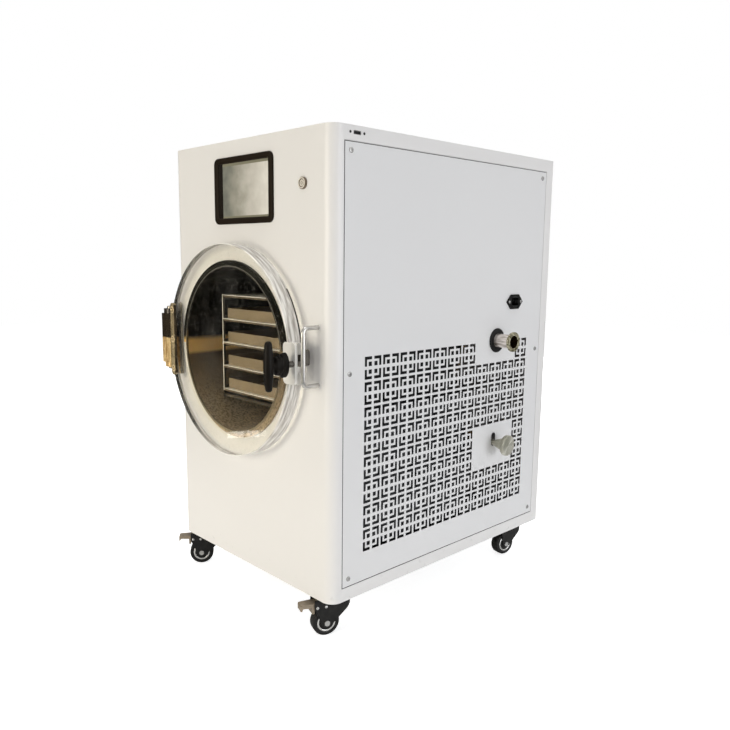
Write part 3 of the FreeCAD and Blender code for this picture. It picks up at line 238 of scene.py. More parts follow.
# Lamps: a large warm one in front of the door, a large cool one beside the vents, and one overhead.
# Another lights the back, and two small low ones only give the door a glint.
def soft_lamp(name, place, target, wide, tall, watts, colour):
    """An area lamp that faces a point."""
    data = bpy.data.lights.new(name, "AREA")
    data.shape = "RECTANGLE"
    data.size = wide
    data.size_y = tall
    data.energy = watts
    data.color = colour
    lamp = bpy.data.objects.new(name, data)
    bpy.context.collection.objects.link(lamp)
    towards = Vector(target) - Vector(place)
    lamp.matrix_world = Matrix.Translation(place) @ towards.to_track_quat("-Z", "Y").to_matrix().to_4x4()


soft_lamp("front_lamp", (-0.4, -2.6, 0.65), (0, 0, 0.25), 1.6, 1.6, 46, (1.0, 0.925, 0.775))
soft_lamp("side_lamp", (2.9, 0.55, 0.45), (0.2, 0.3, 0.20), 1.8, 1.8, 40.5, (0.955, 0.965, 1.0))
soft_lamp("top_lamp", (0.0, 0.2, 2.9), (0, 0.3, 0.8), 1.8, 1.8, 33, (1.0, 1.0, 1.0))
soft_lamp("rear_lamp", (-2.0, 3.0, 1.0), (0, 0.4, 0.35), 1.8, 1.8, 55, (0.98, 0.985, 1.0))
glint_at, glint_warm = (0.05, -0.04, 0.30), (1.0, 0.98, 0.94)
soft_lamp("low_lamp_a", (-1.084, -0.765, 0.013), glint_at, 0.060, 0.024, 0.020, glint_warm)
soft_lamp("low_lamp_b", (-1.048, -0.818, 0.013), glint_at, 0.046, 0.024, 0.016, glint_warm)


# Cover and rear panel: folded steel sheet with a fine orange-peel powder coat.
# The paint is baked on after the cut-outs are made, and the flush side panel has a slightly cooler one.
def dress(name, finish):
    """Gives a CAD node its finish."""
    node = frame["nodes"][name]
    node.data.materials.clear()
    node.data.materials.append(finish)


foot = 0.078


def powder_coat(name, colour, painted_shade_mask=None):
    """Satin paint, slightly pebbled, painted paler towards the floor as painted light, and near black as painted
    shade where the given mask says.
    """
    paint = Finish(name)
    rise = paint.place("Z") - foot
    # Painted light: the coat is painted paler towards the floor.
    low = (1.05 - rise * 1.25 + 0.4 * (paint.noise(0.4) - 0.5)).held()
    scuff = (paint.noise(0.012, detail=4.0) - 0.62).held() * (1 - rise * 30).held()
    shade = paint.mix(low, tuple(part * 0.98 for part in colour), tuple(part * 1.10 for part in colour))
    if painted_shade_mask:
        # Painted shade: near black where the mask says.
        shade = paint.mix(painted_shade_mask(paint), shade, (0.03, 0.03, 0.03))
    peel = paint.noise(0.0019, detail=1.0)
    return paint.surface(Base_Color=paint.mix(scuff * 3, shade, (0.45, 0.44, 0.42)),
                         Roughness=0.34 + 0.10 * paint.noise(0.03), Coat_Weight=0.12,
                         Normal=paint.bump(peel, 0.22, 0.0005))


panel_low, panel_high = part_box("side_panel_right")


def on_ledge(paint):
    """Whether a point is on the ledge behind the side panel's edge, where painted shade goes."""
    x, y, z = paint.place("X"), paint.place("Y"), paint.place("Z")
    beyond = (x > panel_low.x - 0.006) * (x < panel_high.x - 0.0004)
    return beyond * (y > panel_low.y - 0.0004) * (y < panel_high.y + 0.0004) * (z < panel_high.z + 0.0004)


def behind_face(paint):
    """Whether a point is below the side panel's outer face, on a cut edge or inside, where painted shade goes."""
    return paint.place("X") < panel_high.x - 0.0001


# The cover's ledge behind the side panel, and the panel's cut edges and inside face, get painted shade.
cover_paint = powder_coat("cover_powder_coat", (0.745, 0.733, 0.718), on_ledge)
panel_paint = powder_coat("panel_powder_coat", (0.715, 0.712, 0.708), behind_face)
dress("cabinet_shell", cover_paint)
dress("rear_panel", powder_coat("rear_powder_coat", (0.745, 0.733, 0.718)))


# Inner sheet-metal: the floor pan, shroud, control box and casters' plates are left in plain zinc.
# Zinc-coated sheet shows large soft crystals and dulls unevenly.
zinc = Finish("zinc_sheet")
crystal = zinc.node("ShaderNodeTexVoronoi", {"Vector": zinc.place(), "Scale": 90.0}, out="Color")
tone = zinc.node("ShaderNodeSeparateColor", {0: crystal})
zinc.surface(Base_Color=zinc.ramp(tone, [(0.0, (0.40, 0.41, 0.42)), (1.0, (0.60, 0.61, 0.62))]), Metallic=1.0,
             Roughness=0.30 + 0.16 * tone + 0.14 * zinc.noise(0.05))
for name in ("base_tray", "fan_shroud", "control_box", "caster_plates"):
    dress(name, zinc.material)


# Vented side panel: one flush sheet, punched on a square grid and let into the side's opening.
# Each punch leaves four angle slots round four small squares. There are plain fields round the ports.
inlet_low, inlet_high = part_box("power_inlet")
inlet_middle = (inlet_low + inlet_high) / 2
port_mount = next(mount for mount in frame["record"]["mounts"] if mount["name"] == "vacuum_port")
port_at = Vector(port_mount["pos_m"])
drain_at = Vector(joints["drain_turn"]["pos_m"])
floor_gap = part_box("cabinet_shell")[0].z
pitch = 0.044
first_vent = (0.0936, floor_gap + 0.0984)
vent_columns, vent_rows, plain_from, plain_count = 11, 8, 7, 3
plain_rows = (2, 3, 7)
half_bridge, square_near, square_far, slot_inner, slot_outer = 0.0027, 0.0030, 0.0106, 0.0145, 0.0198
cut_lines = (half_bridge, square_near, square_far, slot_inner, slot_outer)


def vent_tile(x_in, x_out, material):
    """One square of sheet with its slots, in the middle of the axes."""
    breaks = sorted(side * place for place in (*cut_lines, pitch / 2) for side in (-1, 1))
    middles = [(low + high) / 2 for low, high in zip(breaks, breaks[1:])]

    def is_open(i, j):
        low, high = sorted((abs(middles[i]), abs(middles[j])))
        in_slot = slot_inner < high < slot_outer and low > half_bridge
        return in_slot or (square_near < low and high < square_far)

    last = len(middles)
    shape = bmesh.new()
    grid = [[[shape.verts.new((x, y, z)) for x in (x_in, x_out)] for z in breaks] for y in breaks]
    for i in range(last):
        for j in range(last):
            ring = [grid[i][j], grid[i + 1][j], grid[i + 1][j + 1], grid[i][j + 1]]
            beside = ((i, j - 1), (i + 1, j), (i, j + 1), (i - 1, j))
            if not is_open(i, j):
                shape.faces.new([corner[1] for corner in ring])
                shape.faces.new([corner[0] for corner in reversed(ring)])
                continue
            for step, (a, b) in enumerate(beside):
                if not (0 <= a < last and 0 <= b < last and is_open(a, b)):
                    here, after = ring[step], ring[(step + 1) % 4]
                    shape.faces.new([here[0], here[1], after[1], after[0]])
    return without_strays("vent_tile", shape, material)


def without_strays(name, shape, material):
    """A solid from a bmesh whose unused corners are dropped."""
    bmesh.ops.delete(shape, geom=[vert for vert in shape.verts if not vert.link_faces], context="VERTS")
    return solid(name, shape, material)


def cut_sheet(x_in, x_out, edge, holes, is_cut, material):
    """A flat sheet inside an edge, with walls round it and its holes, left open where is_cut says."""
    loops = [edge] + holes
    points, edges, start = [], [], 0
    for loop in loops:
        count = len(loop)
        points += [Vector(point) for point in loop]
        edges += [(start + step, start + (step + 1) % count) for step in range(count)]
        start += count
    cuts = sorted([0, pitch] + [pitch / 2 + side * place for place in cut_lines for side in (-1, 1)])
    for column in range(vent_columns + 1):
        for row in range(vent_rows + 1):
            corner = Vector(first_vent) + pitch * Vector((column - 0.5, row - 0.5))
            for step in (Vector((1, 0)), Vector((0, 1))):
                inside = column < vent_columns if step.x else row < vent_rows
                if inside:
                    points += [corner + step * cut for cut in cuts]
                    edges += [(start + here, start + here + 1) for here in range(len(cuts) - 1)]
                    start += len(cuts)
    verts, _, faces, *_ = delaunay_2d_cdt(points, edges, [], 0, 1e-6)
    shape = bmesh.new()
    sides = [[shape.verts.new((x, vert.x, vert.y)) for vert in verts] for x in (x_in, x_out)]
    kept = []
    for face in faces:
        middle = sum((verts[corner] for corner in face), Vector((0, 0))) / len(face)
        if not is_cut(middle):
            kept.append(face)
            shape.faces.new([sides[1][corner] for corner in face])
            shape.faces.new([sides[0][corner] for corner in reversed(face)])
    used = dict.fromkeys(pair for face in kept for pair in zip(face, face[1:] + face[:1]))
    for here, after in used:
        middle = (verts[here] + verts[after]) / 2
        if (after, here) not in used and not in_vents(middle, grow=1e-5):
            shape.faces.new([sides[1][here], sides[0][here], sides[0][after], sides[1][after]])
    return without_strays("side_panel_sheet", shape, material)


def in_vents(point, grow=0.0):
    """Whether a point lies in a punched square of the grid, or within grow of one."""
    for column in range(vent_columns):
        for row in range(vent_rows):
            plain = row in plain_rows and plain_from <= column < plain_from + plain_count
            away = point - Vector(first_vent) - pitch * Vector((column, row))
            if not plain and max(abs(away.x), abs(away.y)) < pitch / 2 + grow:
                return True
    return False


def oval(middle, half_width, half_height, count=48):
    """Points of a circle, or of an upright slot with round ends."""
    points = []
    for step in range(count):
        angle = 2 * math.pi * (step + 0.5) / count
        side = math.copysign(half_height - half_width, math.sin(angle))
        points.append((middle.y + half_width * math.cos(angle),
                       middle.z + half_width * math.sin(angle) + side))
    return points


class Pattern(Tree):
    """A geometry tree with named inputs, which sets models out and joins them to the piece that it is on."""

    def __init__(self, name, inputs):
        self.tree = bpy.data.node_groups.new(name, "GeometryNodeTree")
        self.tree.is_modifier = True
        face = self.tree.interface
        face.new_socket("Geometry", in_out="INPUT", socket_type="NodeSocketGeometry")
        for label, kind in inputs.items():
            face.new_socket(label, in_out="INPUT", socket_type=f"NodeSocket{kind}")
        face.new_socket("Geometry", in_out="OUTPUT", socket_type="NodeSocketGeometry")
        self.start = self.tree.nodes.new("NodeGroupInput")

    def size(self, label):
        """A named input."""
        return Socket(self, self.start.outputs[label])

    def close(self, models, joined=True):
        """Makes the set-out models real, joins them to the piece, and paints them."""
        real = self.node("GeometryNodeRealizeInstances", {0: models})
        if joined:
            whole = self.node("GeometryNodeJoinGeometry")
            for part in (real, self.size("Geometry")):
                self.tree.links.new(part.socket, whole.socket.node.inputs[0])
            real = self.node("GeometryNodeMergeByDistance", {"Geometry": whole, "Distance": 0.00002})
        painted = self.node("GeometryNodeSetMaterial", {"Geometry": real, "Material": self.size("Finish")})
        end = self.tree.nodes.new("NodeGroupOutput")
        self.tree.links.new(painted.socket, end.inputs[0])

    def make(self, piece, values):
        """Runs the tree on a piece, whose mesh becomes the plain result."""
        modifier = piece.modifiers.new(self.tree.name, "NODES")
        modifier.node_group = self.tree
        for item in self.tree.interface.items_tree:
            if item.in_out == "INPUT" and item.name in values:
                modifier[item.identifier] = values[item.name]
        piece.update_tag()
        graph = bpy.context.evaluated_depsgraph_get()
        mesh = bpy.data.meshes.new_from_object(piece.evaluated_get(graph))
        piece.modifiers.remove(modifier)
        piece.data = mesh
        mesh.name = piece.name
        return piece


vents = Pattern("vent_grid", {
    "Model": "Object", "Finish": "Material", "Pitch": "Float", "Columns": "Int", "Rows": "Int",
    "Plain From": "Int", "Plain Count": "Int", "First Y": "Float", "First Z": "Float"})
spread = [(vents.size(label) - 1) * vents.size("Pitch") for label in ("Columns", "Rows")]
grid = vents.node("GeometryNodeMeshGrid", {
    "Size X": spread[0], "Size Y": spread[1],
    "Vertices X": vents.size("Columns"), "Vertices Y": vents.size("Rows")})
number = vents.node("GeometryNodeInputIndex")
column = vents.node("ShaderNodeMath", {0: (number + 0.1) / vents.size("Rows")}, operation="FLOOR")
row = number - column * vents.size("Rows")
from_plain = (column > vents.size("Plain From") - 0.5) * (
    column < vents.size("Plain From") + vents.size("Plain Count") - 0.5)
in_row = sum(abs(row - plain) < 0.5 for plain in plain_rows)
punched = vents.node("GeometryNodeDeleteGeometry", {0: grid, 1: from_plain * in_row > 0.5}, domain="POINT")
lower_corner = vents.node("ShaderNodeCombineXYZ", {
    "Y": vents.size("First Y") + spread[0] / 2, "Z": vents.size("First Z") + spread[1] / 2})
upright = vents.node("GeometryNodeTransform", {
    "Geometry": punched, "Translation": lower_corner, "Rotation": (math.pi / 2, 0, math.pi / 2)})
tile = vents.node("GeometryNodeObjectInfo", {"Object": vents.size("Model")}, out="Geometry")
vents.close(vents.node("GeometryNodeInstanceOnPoints", {"Points": upright, "Instance": tile}))

inlet_long, inlet_short, inlet_tall = 0.023, 0.011, 0.013
inlet_hole = [(inlet_middle.y + along, inlet_middle.z + tall) for along, tall in (
    (-inlet_long, 0), (-inlet_short, -inlet_tall), (inlet_short, -inlet_tall),
    (inlet_long, 0), (inlet_short, inlet_tall), (-inlet_short, inlet_tall))]
drain_slot = Vector((0, drain_at.y, floor_gap + 0.21985))
slot_radius, slot_half, port_hole = 0.0067, 0.01435, 0.0220


def is_cut_away(point):
    """Whether a point lies in the vents, the inlet's or a port's hole, or the drain's slot."""
    along, tall = abs(point.x - inlet_middle.y), abs(point.y - inlet_middle.z)
    in_inlet = tall < inlet_tall and along < inlet_long - tall * (inlet_long - inlet_short) / inlet_tall
    in_port = math.hypot(point.x - port_at.y, point.y - port_at.z) < port_hole
    beyond = max(abs(point.y - drain_slot.z) - slot_half + slot_radius, 0)
    in_slot = math.hypot(point.x - drain_slot.y, beyond) < slot_radius
    return in_inlet or in_port or in_slot or in_vents(point)


gap = 0.0006
sheet_back = panel_high.x - 0.0009
edge = [(panel_low.y + gap, panel_low.z + gap), (panel_high.y, panel_low.z + gap),
        (panel_high.y, panel_high.z - 2 * gap), (panel_low.y + gap, panel_high.z - 2 * gap)]
holes = [inlet_hole, oval(port_at, port_hole, port_hole), oval(drain_slot, slot_radius, slot_half)]
side_panel = cut_sheet(sheet_back, panel_high.x, edge, holes, is_cut_away, panel_paint)
tile_model = vent_tile(sheet_back, panel_high.x, panel_paint)
vents.make(side_panel, {"Model": tile_model, "Finish": panel_paint, "Pitch": pitch, "Columns": vent_columns,
                        "Rows": vent_rows, "Plain From": plain_from, "Plain Count": plain_count,
                        "First Y": first_vent[0], "First Z": first_vent[1]})
bpy.data.objects.remove(tile_model)
side_panel.name = "side_panel_vented"
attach(side_panel, "cabinet")
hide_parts("side_panel_right")


# Fasteners: pan-head screws hold the vented panel at its corners and at mid-height.
# Each head is steel with a cross driven into it, and one pattern sets the heads out on their points.
def bridge(shape, first, second):
    """Faces between two closed rings of corners, of which one may be a single point."""
    sides = max(len(first), len(second))
    for step in range(sides):
        after = (step + 1) % sides
        ring = [first[step % len(first)], first[after % len(first)],
                second[after % len(second)], second[step % len(second)]]
        corners = [corner for place, corner in enumerate(ring) if corner not in ring[:place]]
        if len(corners) > 2:
            shape.faces.new(corners)


def turned(name, axis, centre, profile, material, sides=96, sharp=30):
    """A solid turned round an axis, from (along, radius) points that form a loop or go from axis to axis."""
    along = Vector(axis).normalized()
    across = along.orthogonal().normalized()
    over = along.cross(across)
    shape = bmesh.new()
    rings = []
    for place, radius in profile:
        middle = Vector(centre) + along * place
        angles = [2 * math.pi * step / sides for step in range(sides if radius > 1e-7 else 1)]
        rings.append([shape.verts.new(middle + (across * math.cos(angle) + over * math.sin(angle)) * radius)
                      for angle in angles])
    looped = len(rings[0]) > 1 and len(rings[-1]) > 1
    for first, second in zip(rings, rings[1:] + (rings[:1] if looped else [])):
        bridge(shape, first, second)
    bmesh.ops.recalc_face_normals(shape, faces=shape.faces)
    return solid(name, shape, material, sharp)


def brushed(name, colour, rough=0.25, size=0.0006, stretch=(1, 1, 1), bare=0.8):
    """Metal with fine scratches drawn out where stretch is small, bare under a share of its dull film."""
    metal = Finish(name)
    lines = metal.noise(size, detail=3.0, stretch=stretch)
    stain = metal.noise(0.03, detail=3.0)
    darker = tuple(part * 0.78 for part in colour)
    return metal.surface(Base_Color=metal.mix((stain * 1.4 - 0.35).held(), darker, colour), Metallic=bare,
                         Roughness=rough + 0.10 * (lines - 0.5) + 0.10 * (stain - 0.5),
                         Normal=metal.bump(lines, 0.12, 0.0003))


on_points = Pattern("set_out_on_points", {"Model": "Object", "Finish": "Material"})
one = on_points.node("GeometryNodeObjectInfo", {"Object": on_points.size("Model")}, out="Geometry")
copies = on_points.node("GeometryNodeInstanceOnPoints", {
    "Points": on_points.size("Geometry"), "Instance": one})
on_points.close(copies, joined=False)


def repeated(name, model, points, material):
    """Copies of a model, which is made at the origin and used up, set out on points as one piece."""
    shape = bmesh.new()
    for point in points:
        shape.verts.new(point)
    piece = solid(name, shape, material)
    on_points.make(piece, {"Model": model, "Finish": material})
    bpy.data.objects.remove(model)
    return piece


def cross_heads(name, points, radius, height, material):
    """Domed screw heads with a sunk cross, set out on points of the vented side as one piece."""
    along = Vector((1, 0, 0))
    across = along.orthogonal().normalized()
    over = along.cross(across)
    half, tip, sides = radius * 0.13, radius * 0.58, 32
    shape = bmesh.new()
    outline = [(half, half), (half, tip), (-half, tip)]
    for _ in range(3):
        outline += [(-b, a) for a, b in outline[-3:]]
    circle = [across * math.cos(2 * math.pi * step / sides) + over * math.sin(2 * math.pi * step / sides)
              for step in range(sides)]
    rim = [[shape.verts.new(along * (height * up) + out * (radius * share)) for out in circle]
           for up, share in ((0, 1), (0.45, 1), (0.85, 0.86), (1, 0.66))]
    for low, high in zip(rim, rim[1:]):
        bridge(shape, low, high)
    shape.faces.new(list(reversed(rim[0])))
    crown, pit = [[shape.verts.new(along * up + across * a + over * b) for a, b in outline]
                  for up in (height, height * 0.45)]
    bridge(shape, crown, pit)
    shape.faces.new(list(reversed(pit)))
    top_edges = [shape.edges.get((ring[step], ring[(step + 1) % len(ring)]))
                 for ring in (rim[-1], crown) for step in range(len(ring))]
    bmesh.ops.triangle_fill(shape, edges=top_edges, use_beauty=True, normal=along)
    bmesh.ops.recalc_face_normals(shape, faces=shape.faces)
    return repeated(name, solid("screw_model", shape, material), points, material)


screw_steel = brushed("screw_steel", (0.56, 0.56, 0.55), rough=0.24, bare=0.6)
screws_low, screws_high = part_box("panel_screws")
screw_radius = 0.0045
screw_rows = [screws_low.z + screw_radius, (screws_low.z + screws_high.z) / 2, screws_high.z - screw_radius]
screw_columns = [screws_low.y + screw_radius, screws_high.y - screw_radius]
screw_points = [(screws_low.x, y, z) for y in screw_columns for z in screw_rows]
panel_screws = cross_heads("panel_screw_heads", screw_points, screw_radius,
                           screws_high.x - screws_low.x, screw_steel)
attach(panel_screws, "cabinet")
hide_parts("panel_screws")


# Service socket in the strip over the side panel: a stamped steel shell round a tongue, with its opening painted
# near black as shade.
# Two small blackened screws beside it hold it.
usb_low, usb_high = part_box("usb_port")
usb_middle = (usb_low + usb_high) / 2
socket_steel = Finish("socket_steel")
off_y, off_z, _ = socket_steel.off(usb_middle, "YZ")
usb_half = (usb_high - usb_low) / 2
# Painted shade: the opening inside the shell, tongue included, is painted near black.
inside = (abs(off_y) < usb_half.y - 0.0012) * (abs(off_z) < usb_half.z - 0.0011)
socket_steel.surface(Base_Color=socket_steel.mix(inside, (0.20, 0.20, 0.20), (0.006, 0.006, 0.006)),
                     Metallic=1.0 - inside, Roughness=0.28 + 0.3 * inside + 0.1 * socket_steel.noise(0.002))
dress("usb_port", socket_steel.material)
black_steel = brushed("blackened_steel", (0.06, 0.06, 0.06), rough=0.38)
usb_apart = 0.0152
usb_points = [(panel_high.x, usb_middle.y + side * usb_apart, usb_middle.z) for side in (-1, 1)]
usb_screws = cross_heads("socket_screw_heads", usb_points, radius=0.0022, height=0.0008, material=black_steel)
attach(usb_screws, "cabinet")


# Touch screen: a moulded frame with a soft bead round its window, and glass set back behind it.
# The mould's fine grain shows on the frame. The glass over the unlit panel carries a blotchy painted reflection,
# paler to the right, and painted shade along the frame's inner edges.
bezel_low, bezel_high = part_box("screen_bezel")


def moulded(name, dark, pale, patch, rough, spread, grain, relief=None, **values):
    """A skin that drifts between two tones over patches, with a finer grain in its gloss and relief."""
    skin = Finish(name)
    fine = skin.noise(grain)
    if relief:
        values["Normal"] = skin.bump(fine, *relief)
    values["Roughness"] = rough + spread * fine
    return skin.surface(Base_Color=skin.mix(skin.noise(patch), dark, pale), **values)


def rounded_rectangle(half_width, half_height, radius, steps=8):
    """Corner by corner points of a rectangle with round corners."""
    points = []
    for quarter, (side, end) in enumerate(((1, 1), (-1, 1), (-1, -1), (1, -1))):
        for step in range(steps + 1):
            angle = math.pi / 2 * (quarter + step / steps)
            points.append((side * (half_width - radius) + radius * math.cos(angle),
                           end * (half_height - radius) + radius * math.sin(angle)))
    return points


def framed(name, centre, rings, material):
    """A frame from nested rounded rectangles, each (half width, half height, radius, y), closed on itself."""
    shape = bmesh.new()
    loops = [[shape.verts.new((centre.x + x, y, centre.z + z))
              for x, z in rounded_rectangle(half_width, half_height, radius)]
             for half_width, half_height, radius, y in rings]
    for first, second in zip(loops, loops[1:] + loops[:1]):
        bridge(shape, first, second)
    bmesh.ops.recalc_face_normals(shape, faces=shape.faces)
    return solid(name, shape, material, sharp=50)


bezel_middle = (bezel_low + bezel_high) / 2
bezel_half = (bezel_high - bezel_low) / 2
bezel_deep = bezel_high.y - bezel_low.y
bead = ((0, 0, 0.0120, bezel_deep), (0, 0, 0.0120, 0.0022), (0.0004, 0.0004, 0.0117, 0.0010),
        (0.0012, 0.0012, 0.0110, 0.0003), (0.0024, 0.0024, 0.0100, 0), (0.0085, 0.0070, 0.0060, 0),
        (0.0105, 0.0088, 0.0045, 0.0003), (0.0125, 0.0105, 0.0025, 0.0014), (0.0130, 0.0110, 0.0020, 0.0022),
        (0.0130, 0.0110, 0.0020, bezel_deep))
rings = [(bezel_half.x - side, bezel_half.z - end, radius, bezel_low.y + behind)
         for side, end, radius, behind in bead]
plastic = moulded("bezel_plastic", (0.012, 0.008, 0.005), (0.020, 0.014, 0.009), 0.05, 0.38, 0.12, 0.0007,
                  (0.18, 0.0003), Specular_IOR_Level=0.06)
bezel = framed("screen_frame", bezel_middle, rings, plastic)
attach(bezel, "cabinet")
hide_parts("screen_bezel")

glass = Finish("screen_glass")
off_x, off_z, _ = glass.off(bezel_middle)
across, height = off_x / (2 * bezel_half.x) + 0.5, off_z / (2 * bezel_half.z) + 0.5
reflection_blotches = glass.noise(0.030, detail=3.0)
# Painted reflection: the glass is painted darker at the left and paler to the right, in blotches.
painted_reflection_grey = glass.ramp((across + 0.45 * (reflection_blotches - 0.5)).held(), [
    (0.08, (0.130, 0.140, 0.120)), (0.42, (0.34, 0.33, 0.28)),
    (0.60, (0.50, 0.48, 0.43)), (0.92, (0.74, 0.72, 0.66))])
# Painted shade from the frame: an olive band at the top and foot, and near black along the left and top edges.
bands = ((height > 0.865) + (height < 0.120)).held()
painted_frame_shade = ((across < 0.148) + (height > 0.905)).held()
face = glass.mix(bands, painted_reflection_grey, (0.22, 0.21, 0.15))
glass.surface(Base_Color=glass.mix(painted_frame_shade, face, (0.012, 0.009, 0.006)), Roughness=0.08 + 0.05 * reflection_blotches,
              Coat_Weight=0.3)
dress("touch_screen", glass.material)


# Power button: a turned ring round a dished cap, both in satin nickel with the lathe's circular marks.
# The grooves between and inside them, and the ring's outer edge, carry painted shade, and the cap slides into the
# ring when it is pressed.
button_low, button_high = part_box("button_cap")
nickel = Finish("button_nickel")
reach = nickel.off((button_low + button_high) / 2)[2]
marks = (reach * 9000).sine()
# Painted shade: dark rings in the grooves and round the outer edge.
groove_shade = ((reach > 0.0018) * (reach < 0.0026) + (reach > 0.0056) * (reach < 0.0068) + (reach > 0.0090)).held()
nickel.surface(Base_Color=nickel.mix(groove_shade, (0.74, 0.69, 0.60), (0.17, 0.13, 0.09)), Metallic=0.2,
               Roughness=0.24 + 0.04 * marks + 0.1 * nickel.noise(0.004),
               Normal=nickel.bump(marks, 0.15, 0.0001))
for name in ("button_bezel", "button_cap"):
    dress(name, nickel.material)


# Chamber: a polished stainless tank with its end plate, a lip seal in the flange, and foam lagging round it.
# Painted reflection makes it dark above a warm band and brown below, with flecks in the brown.
door_low, door_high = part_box("door_disc")
door_middle = (door_low + door_high) / 2
door_radius = (door_high.x - door_low.x) / 2

tank_across = 0.305
steel = Finish("tank_steel")
height = (steel.place("Z") - door_middle.z) / tank_across + 0.5
waver = steel.noise(0.10, detail=3.0, stretch=(0.4, 0.4, 1))
# Painted reflection: near black above, a warm band across the middle and brown below.
reflected_tint = steel.ramp((height + 0.05 * (waver - 0.5)).held(), [
    (0.02, (0.62, 0.490, 0.320)), (0.22, (0.36, 0.280, 0.180)), (0.425, (0.22, 0.160, 0.098)),
    (0.445, (1.00, 0.660, 0.250)), (0.515, (1.00, 0.640, 0.240)), (0.545, (0.016, 0.014, 0.010)),
    (0.80, (0.008, 0.008, 0.006)), (1.0, (0.014, 0.014, 0.010))])
warm_reflection_band = (height > 0.44) * (height < 0.52)
fleck = (steel.noise(0.006, detail=5.0) - 0.60).held() * (0.55 - height).held() * 4
grain = (steel.noise(0.0042, detail=4.0) * 3.0 - 1.3).held() * (0.44 - height).held() * 5
bands = steel.noise(0.004, detail=2.0, stretch=(0.02, 1, 0.02))
off_x, off_z, reach = steel.off(door_middle + Vector((0.008, 0, 0.001)))
# Painted reflection: the lower half of the flange's face is painted pale.
face = (reach > 0.1630) * (steel.place("Y") < 0.004) * (off_z < 0)
reflection_and_marks = steel.mix(grain.held() * 0.6, steel.mix(fleck.held(), reflected_tint, (0.34, 0.30, 0.23)), (0.09, 0.07, 0.045))
steel.surface(Base_Color=steel.mix(face, reflection_and_marks, (0.80, 0.775, 0.715)),
              Metallic=0.4 - 0.2 * face - 0.25 * warm_reflection_band, Specular_IOR_Level=0.10,
              Roughness=0.24 + 0.12 * waver + 0.06 * bands, Normal=steel.bump(bands, 0.08, 0.0003))
for name in ("vacuum_chamber", "chamber_end"):
    dress(name, steel.material)

silicone = Finish("lip_silicone")
off_x, off_z, reach = silicone.off(door_middle)
# Painted reflection: the seal is painted brown below and near black above, like the tank.
reflected_seal_tone = silicone.ramp((off_z / tank_across + 0.5).held(), [
    (0.0, (0.30, 0.240, 0.155)), (0.43, (0.13, 0.100, 0.060)),
    (0.52, (0.20, 0.130, 0.050)), (0.60, (0.010, 0.009, 0.007))])
# Painted highlight: a pale line along the lip on the upper half.
lip = (abs(reach - 0.1552) < 0.0007) * (off_z > 0) * 0.6
lipped_tone = silicone.mix(lip, reflected_seal_tone, (0.30, 0.29, 0.26))
silicone.surface(Base_Color=silicone.mix(silicone.noise(0.01) * 0.3, lipped_tone, (0.03, 0.025, 0.018)),
                 Roughness=0.4 + 0.1 * silicone.noise(0.003), Specular_IOR_Level=0.2)
dress("chamber_gasket", silicone.material)

foam = Finish("closed_cell_foam")
cells = foam.node("ShaderNodeTexVoronoi", {"Vector": foam.place(), "Scale": 420.0})
foam.surface(Base_Color=foam.mix(cells, (0.03, 0.03, 0.03), (0.012, 0.012, 0.012)),
             Roughness=0.85 + 0.1 * cells, Normal=foam.bump(cells, 0.5, 0.0006))
dress("chamber_jacket", foam.material)


# Rack, shelves and trays: folded stainless sheet and dulled aluminium trays, the rack painted dark as shade with a
# painted highlight on its front edge.
# Brushing runs front to back on the shelves, whose lips carry a painted highlight along the fold and painted
# shadow below it.
along_y = (1, 0.03, 1)


def lipped(name, top):
    """Brushed sheet with a painted highlight at the height of its fold and painted shadow below it."""
    sheet = Finish(name)
    lines = sheet.noise(0.0006, detail=3.0, stretch=along_y)
    # Painted shadow below the fold, and painted highlight at it.
    below = ((top - 0.0011 - sheet.place("Z")) * 3000).held()
    return sheet.surface(Base_Color=sheet.mix(below, (1.0, 0.97, 0.88), (0.14, 0.11, 0.075)), Metallic=0.1,
                         Roughness=0.22 + 0.10 * lines, Normal=sheet.bump(lines, 0.12, 0.0003))


rack_finish = Finish("rack_steel")
rack_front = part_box("rack_frame")[0].y
scratches = rack_finish.noise(0.0006, detail=3.0, stretch=along_y)
# Painted shade and highlight: the rack is near black except its front edge above the lowest shelf.
painted_highlight_edge = ((rack_front + 0.0008 - rack_finish.place("Y")) * 4000).held()
over_shelf = ((rack_finish.place("Z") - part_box("shelf_5")[0].z) * 3000).held()
rack_painted_light_and_shade = rack_finish.mix(painted_highlight_edge * over_shelf, (0.060, 0.048, 0.032), (0.95, 0.91, 0.80))
rack_finish.surface(Base_Color=rack_painted_light_and_shade, Metallic=0.1, Roughness=0.25 + 0.1 * scratches,
                    Normal=rack_finish.bump(scratches, 0.12, 0.0003))
dress("rack_frame", rack_finish.material)
for level in range(1, 6):
    dress(f"shelf_{level}", lipped(f"shelf_steel_{level}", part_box(f"shelf_{level}")[1].z))
tray_finish = brushed("tray_aluminium", (0.36, 0.280, 0.175), rough=0.45, size=0.0008,
                      stretch=(0.05, 1, 1), bare=0.4)
for place in range(1, 5):
    dress(f"tray_{place}", tray_finish)


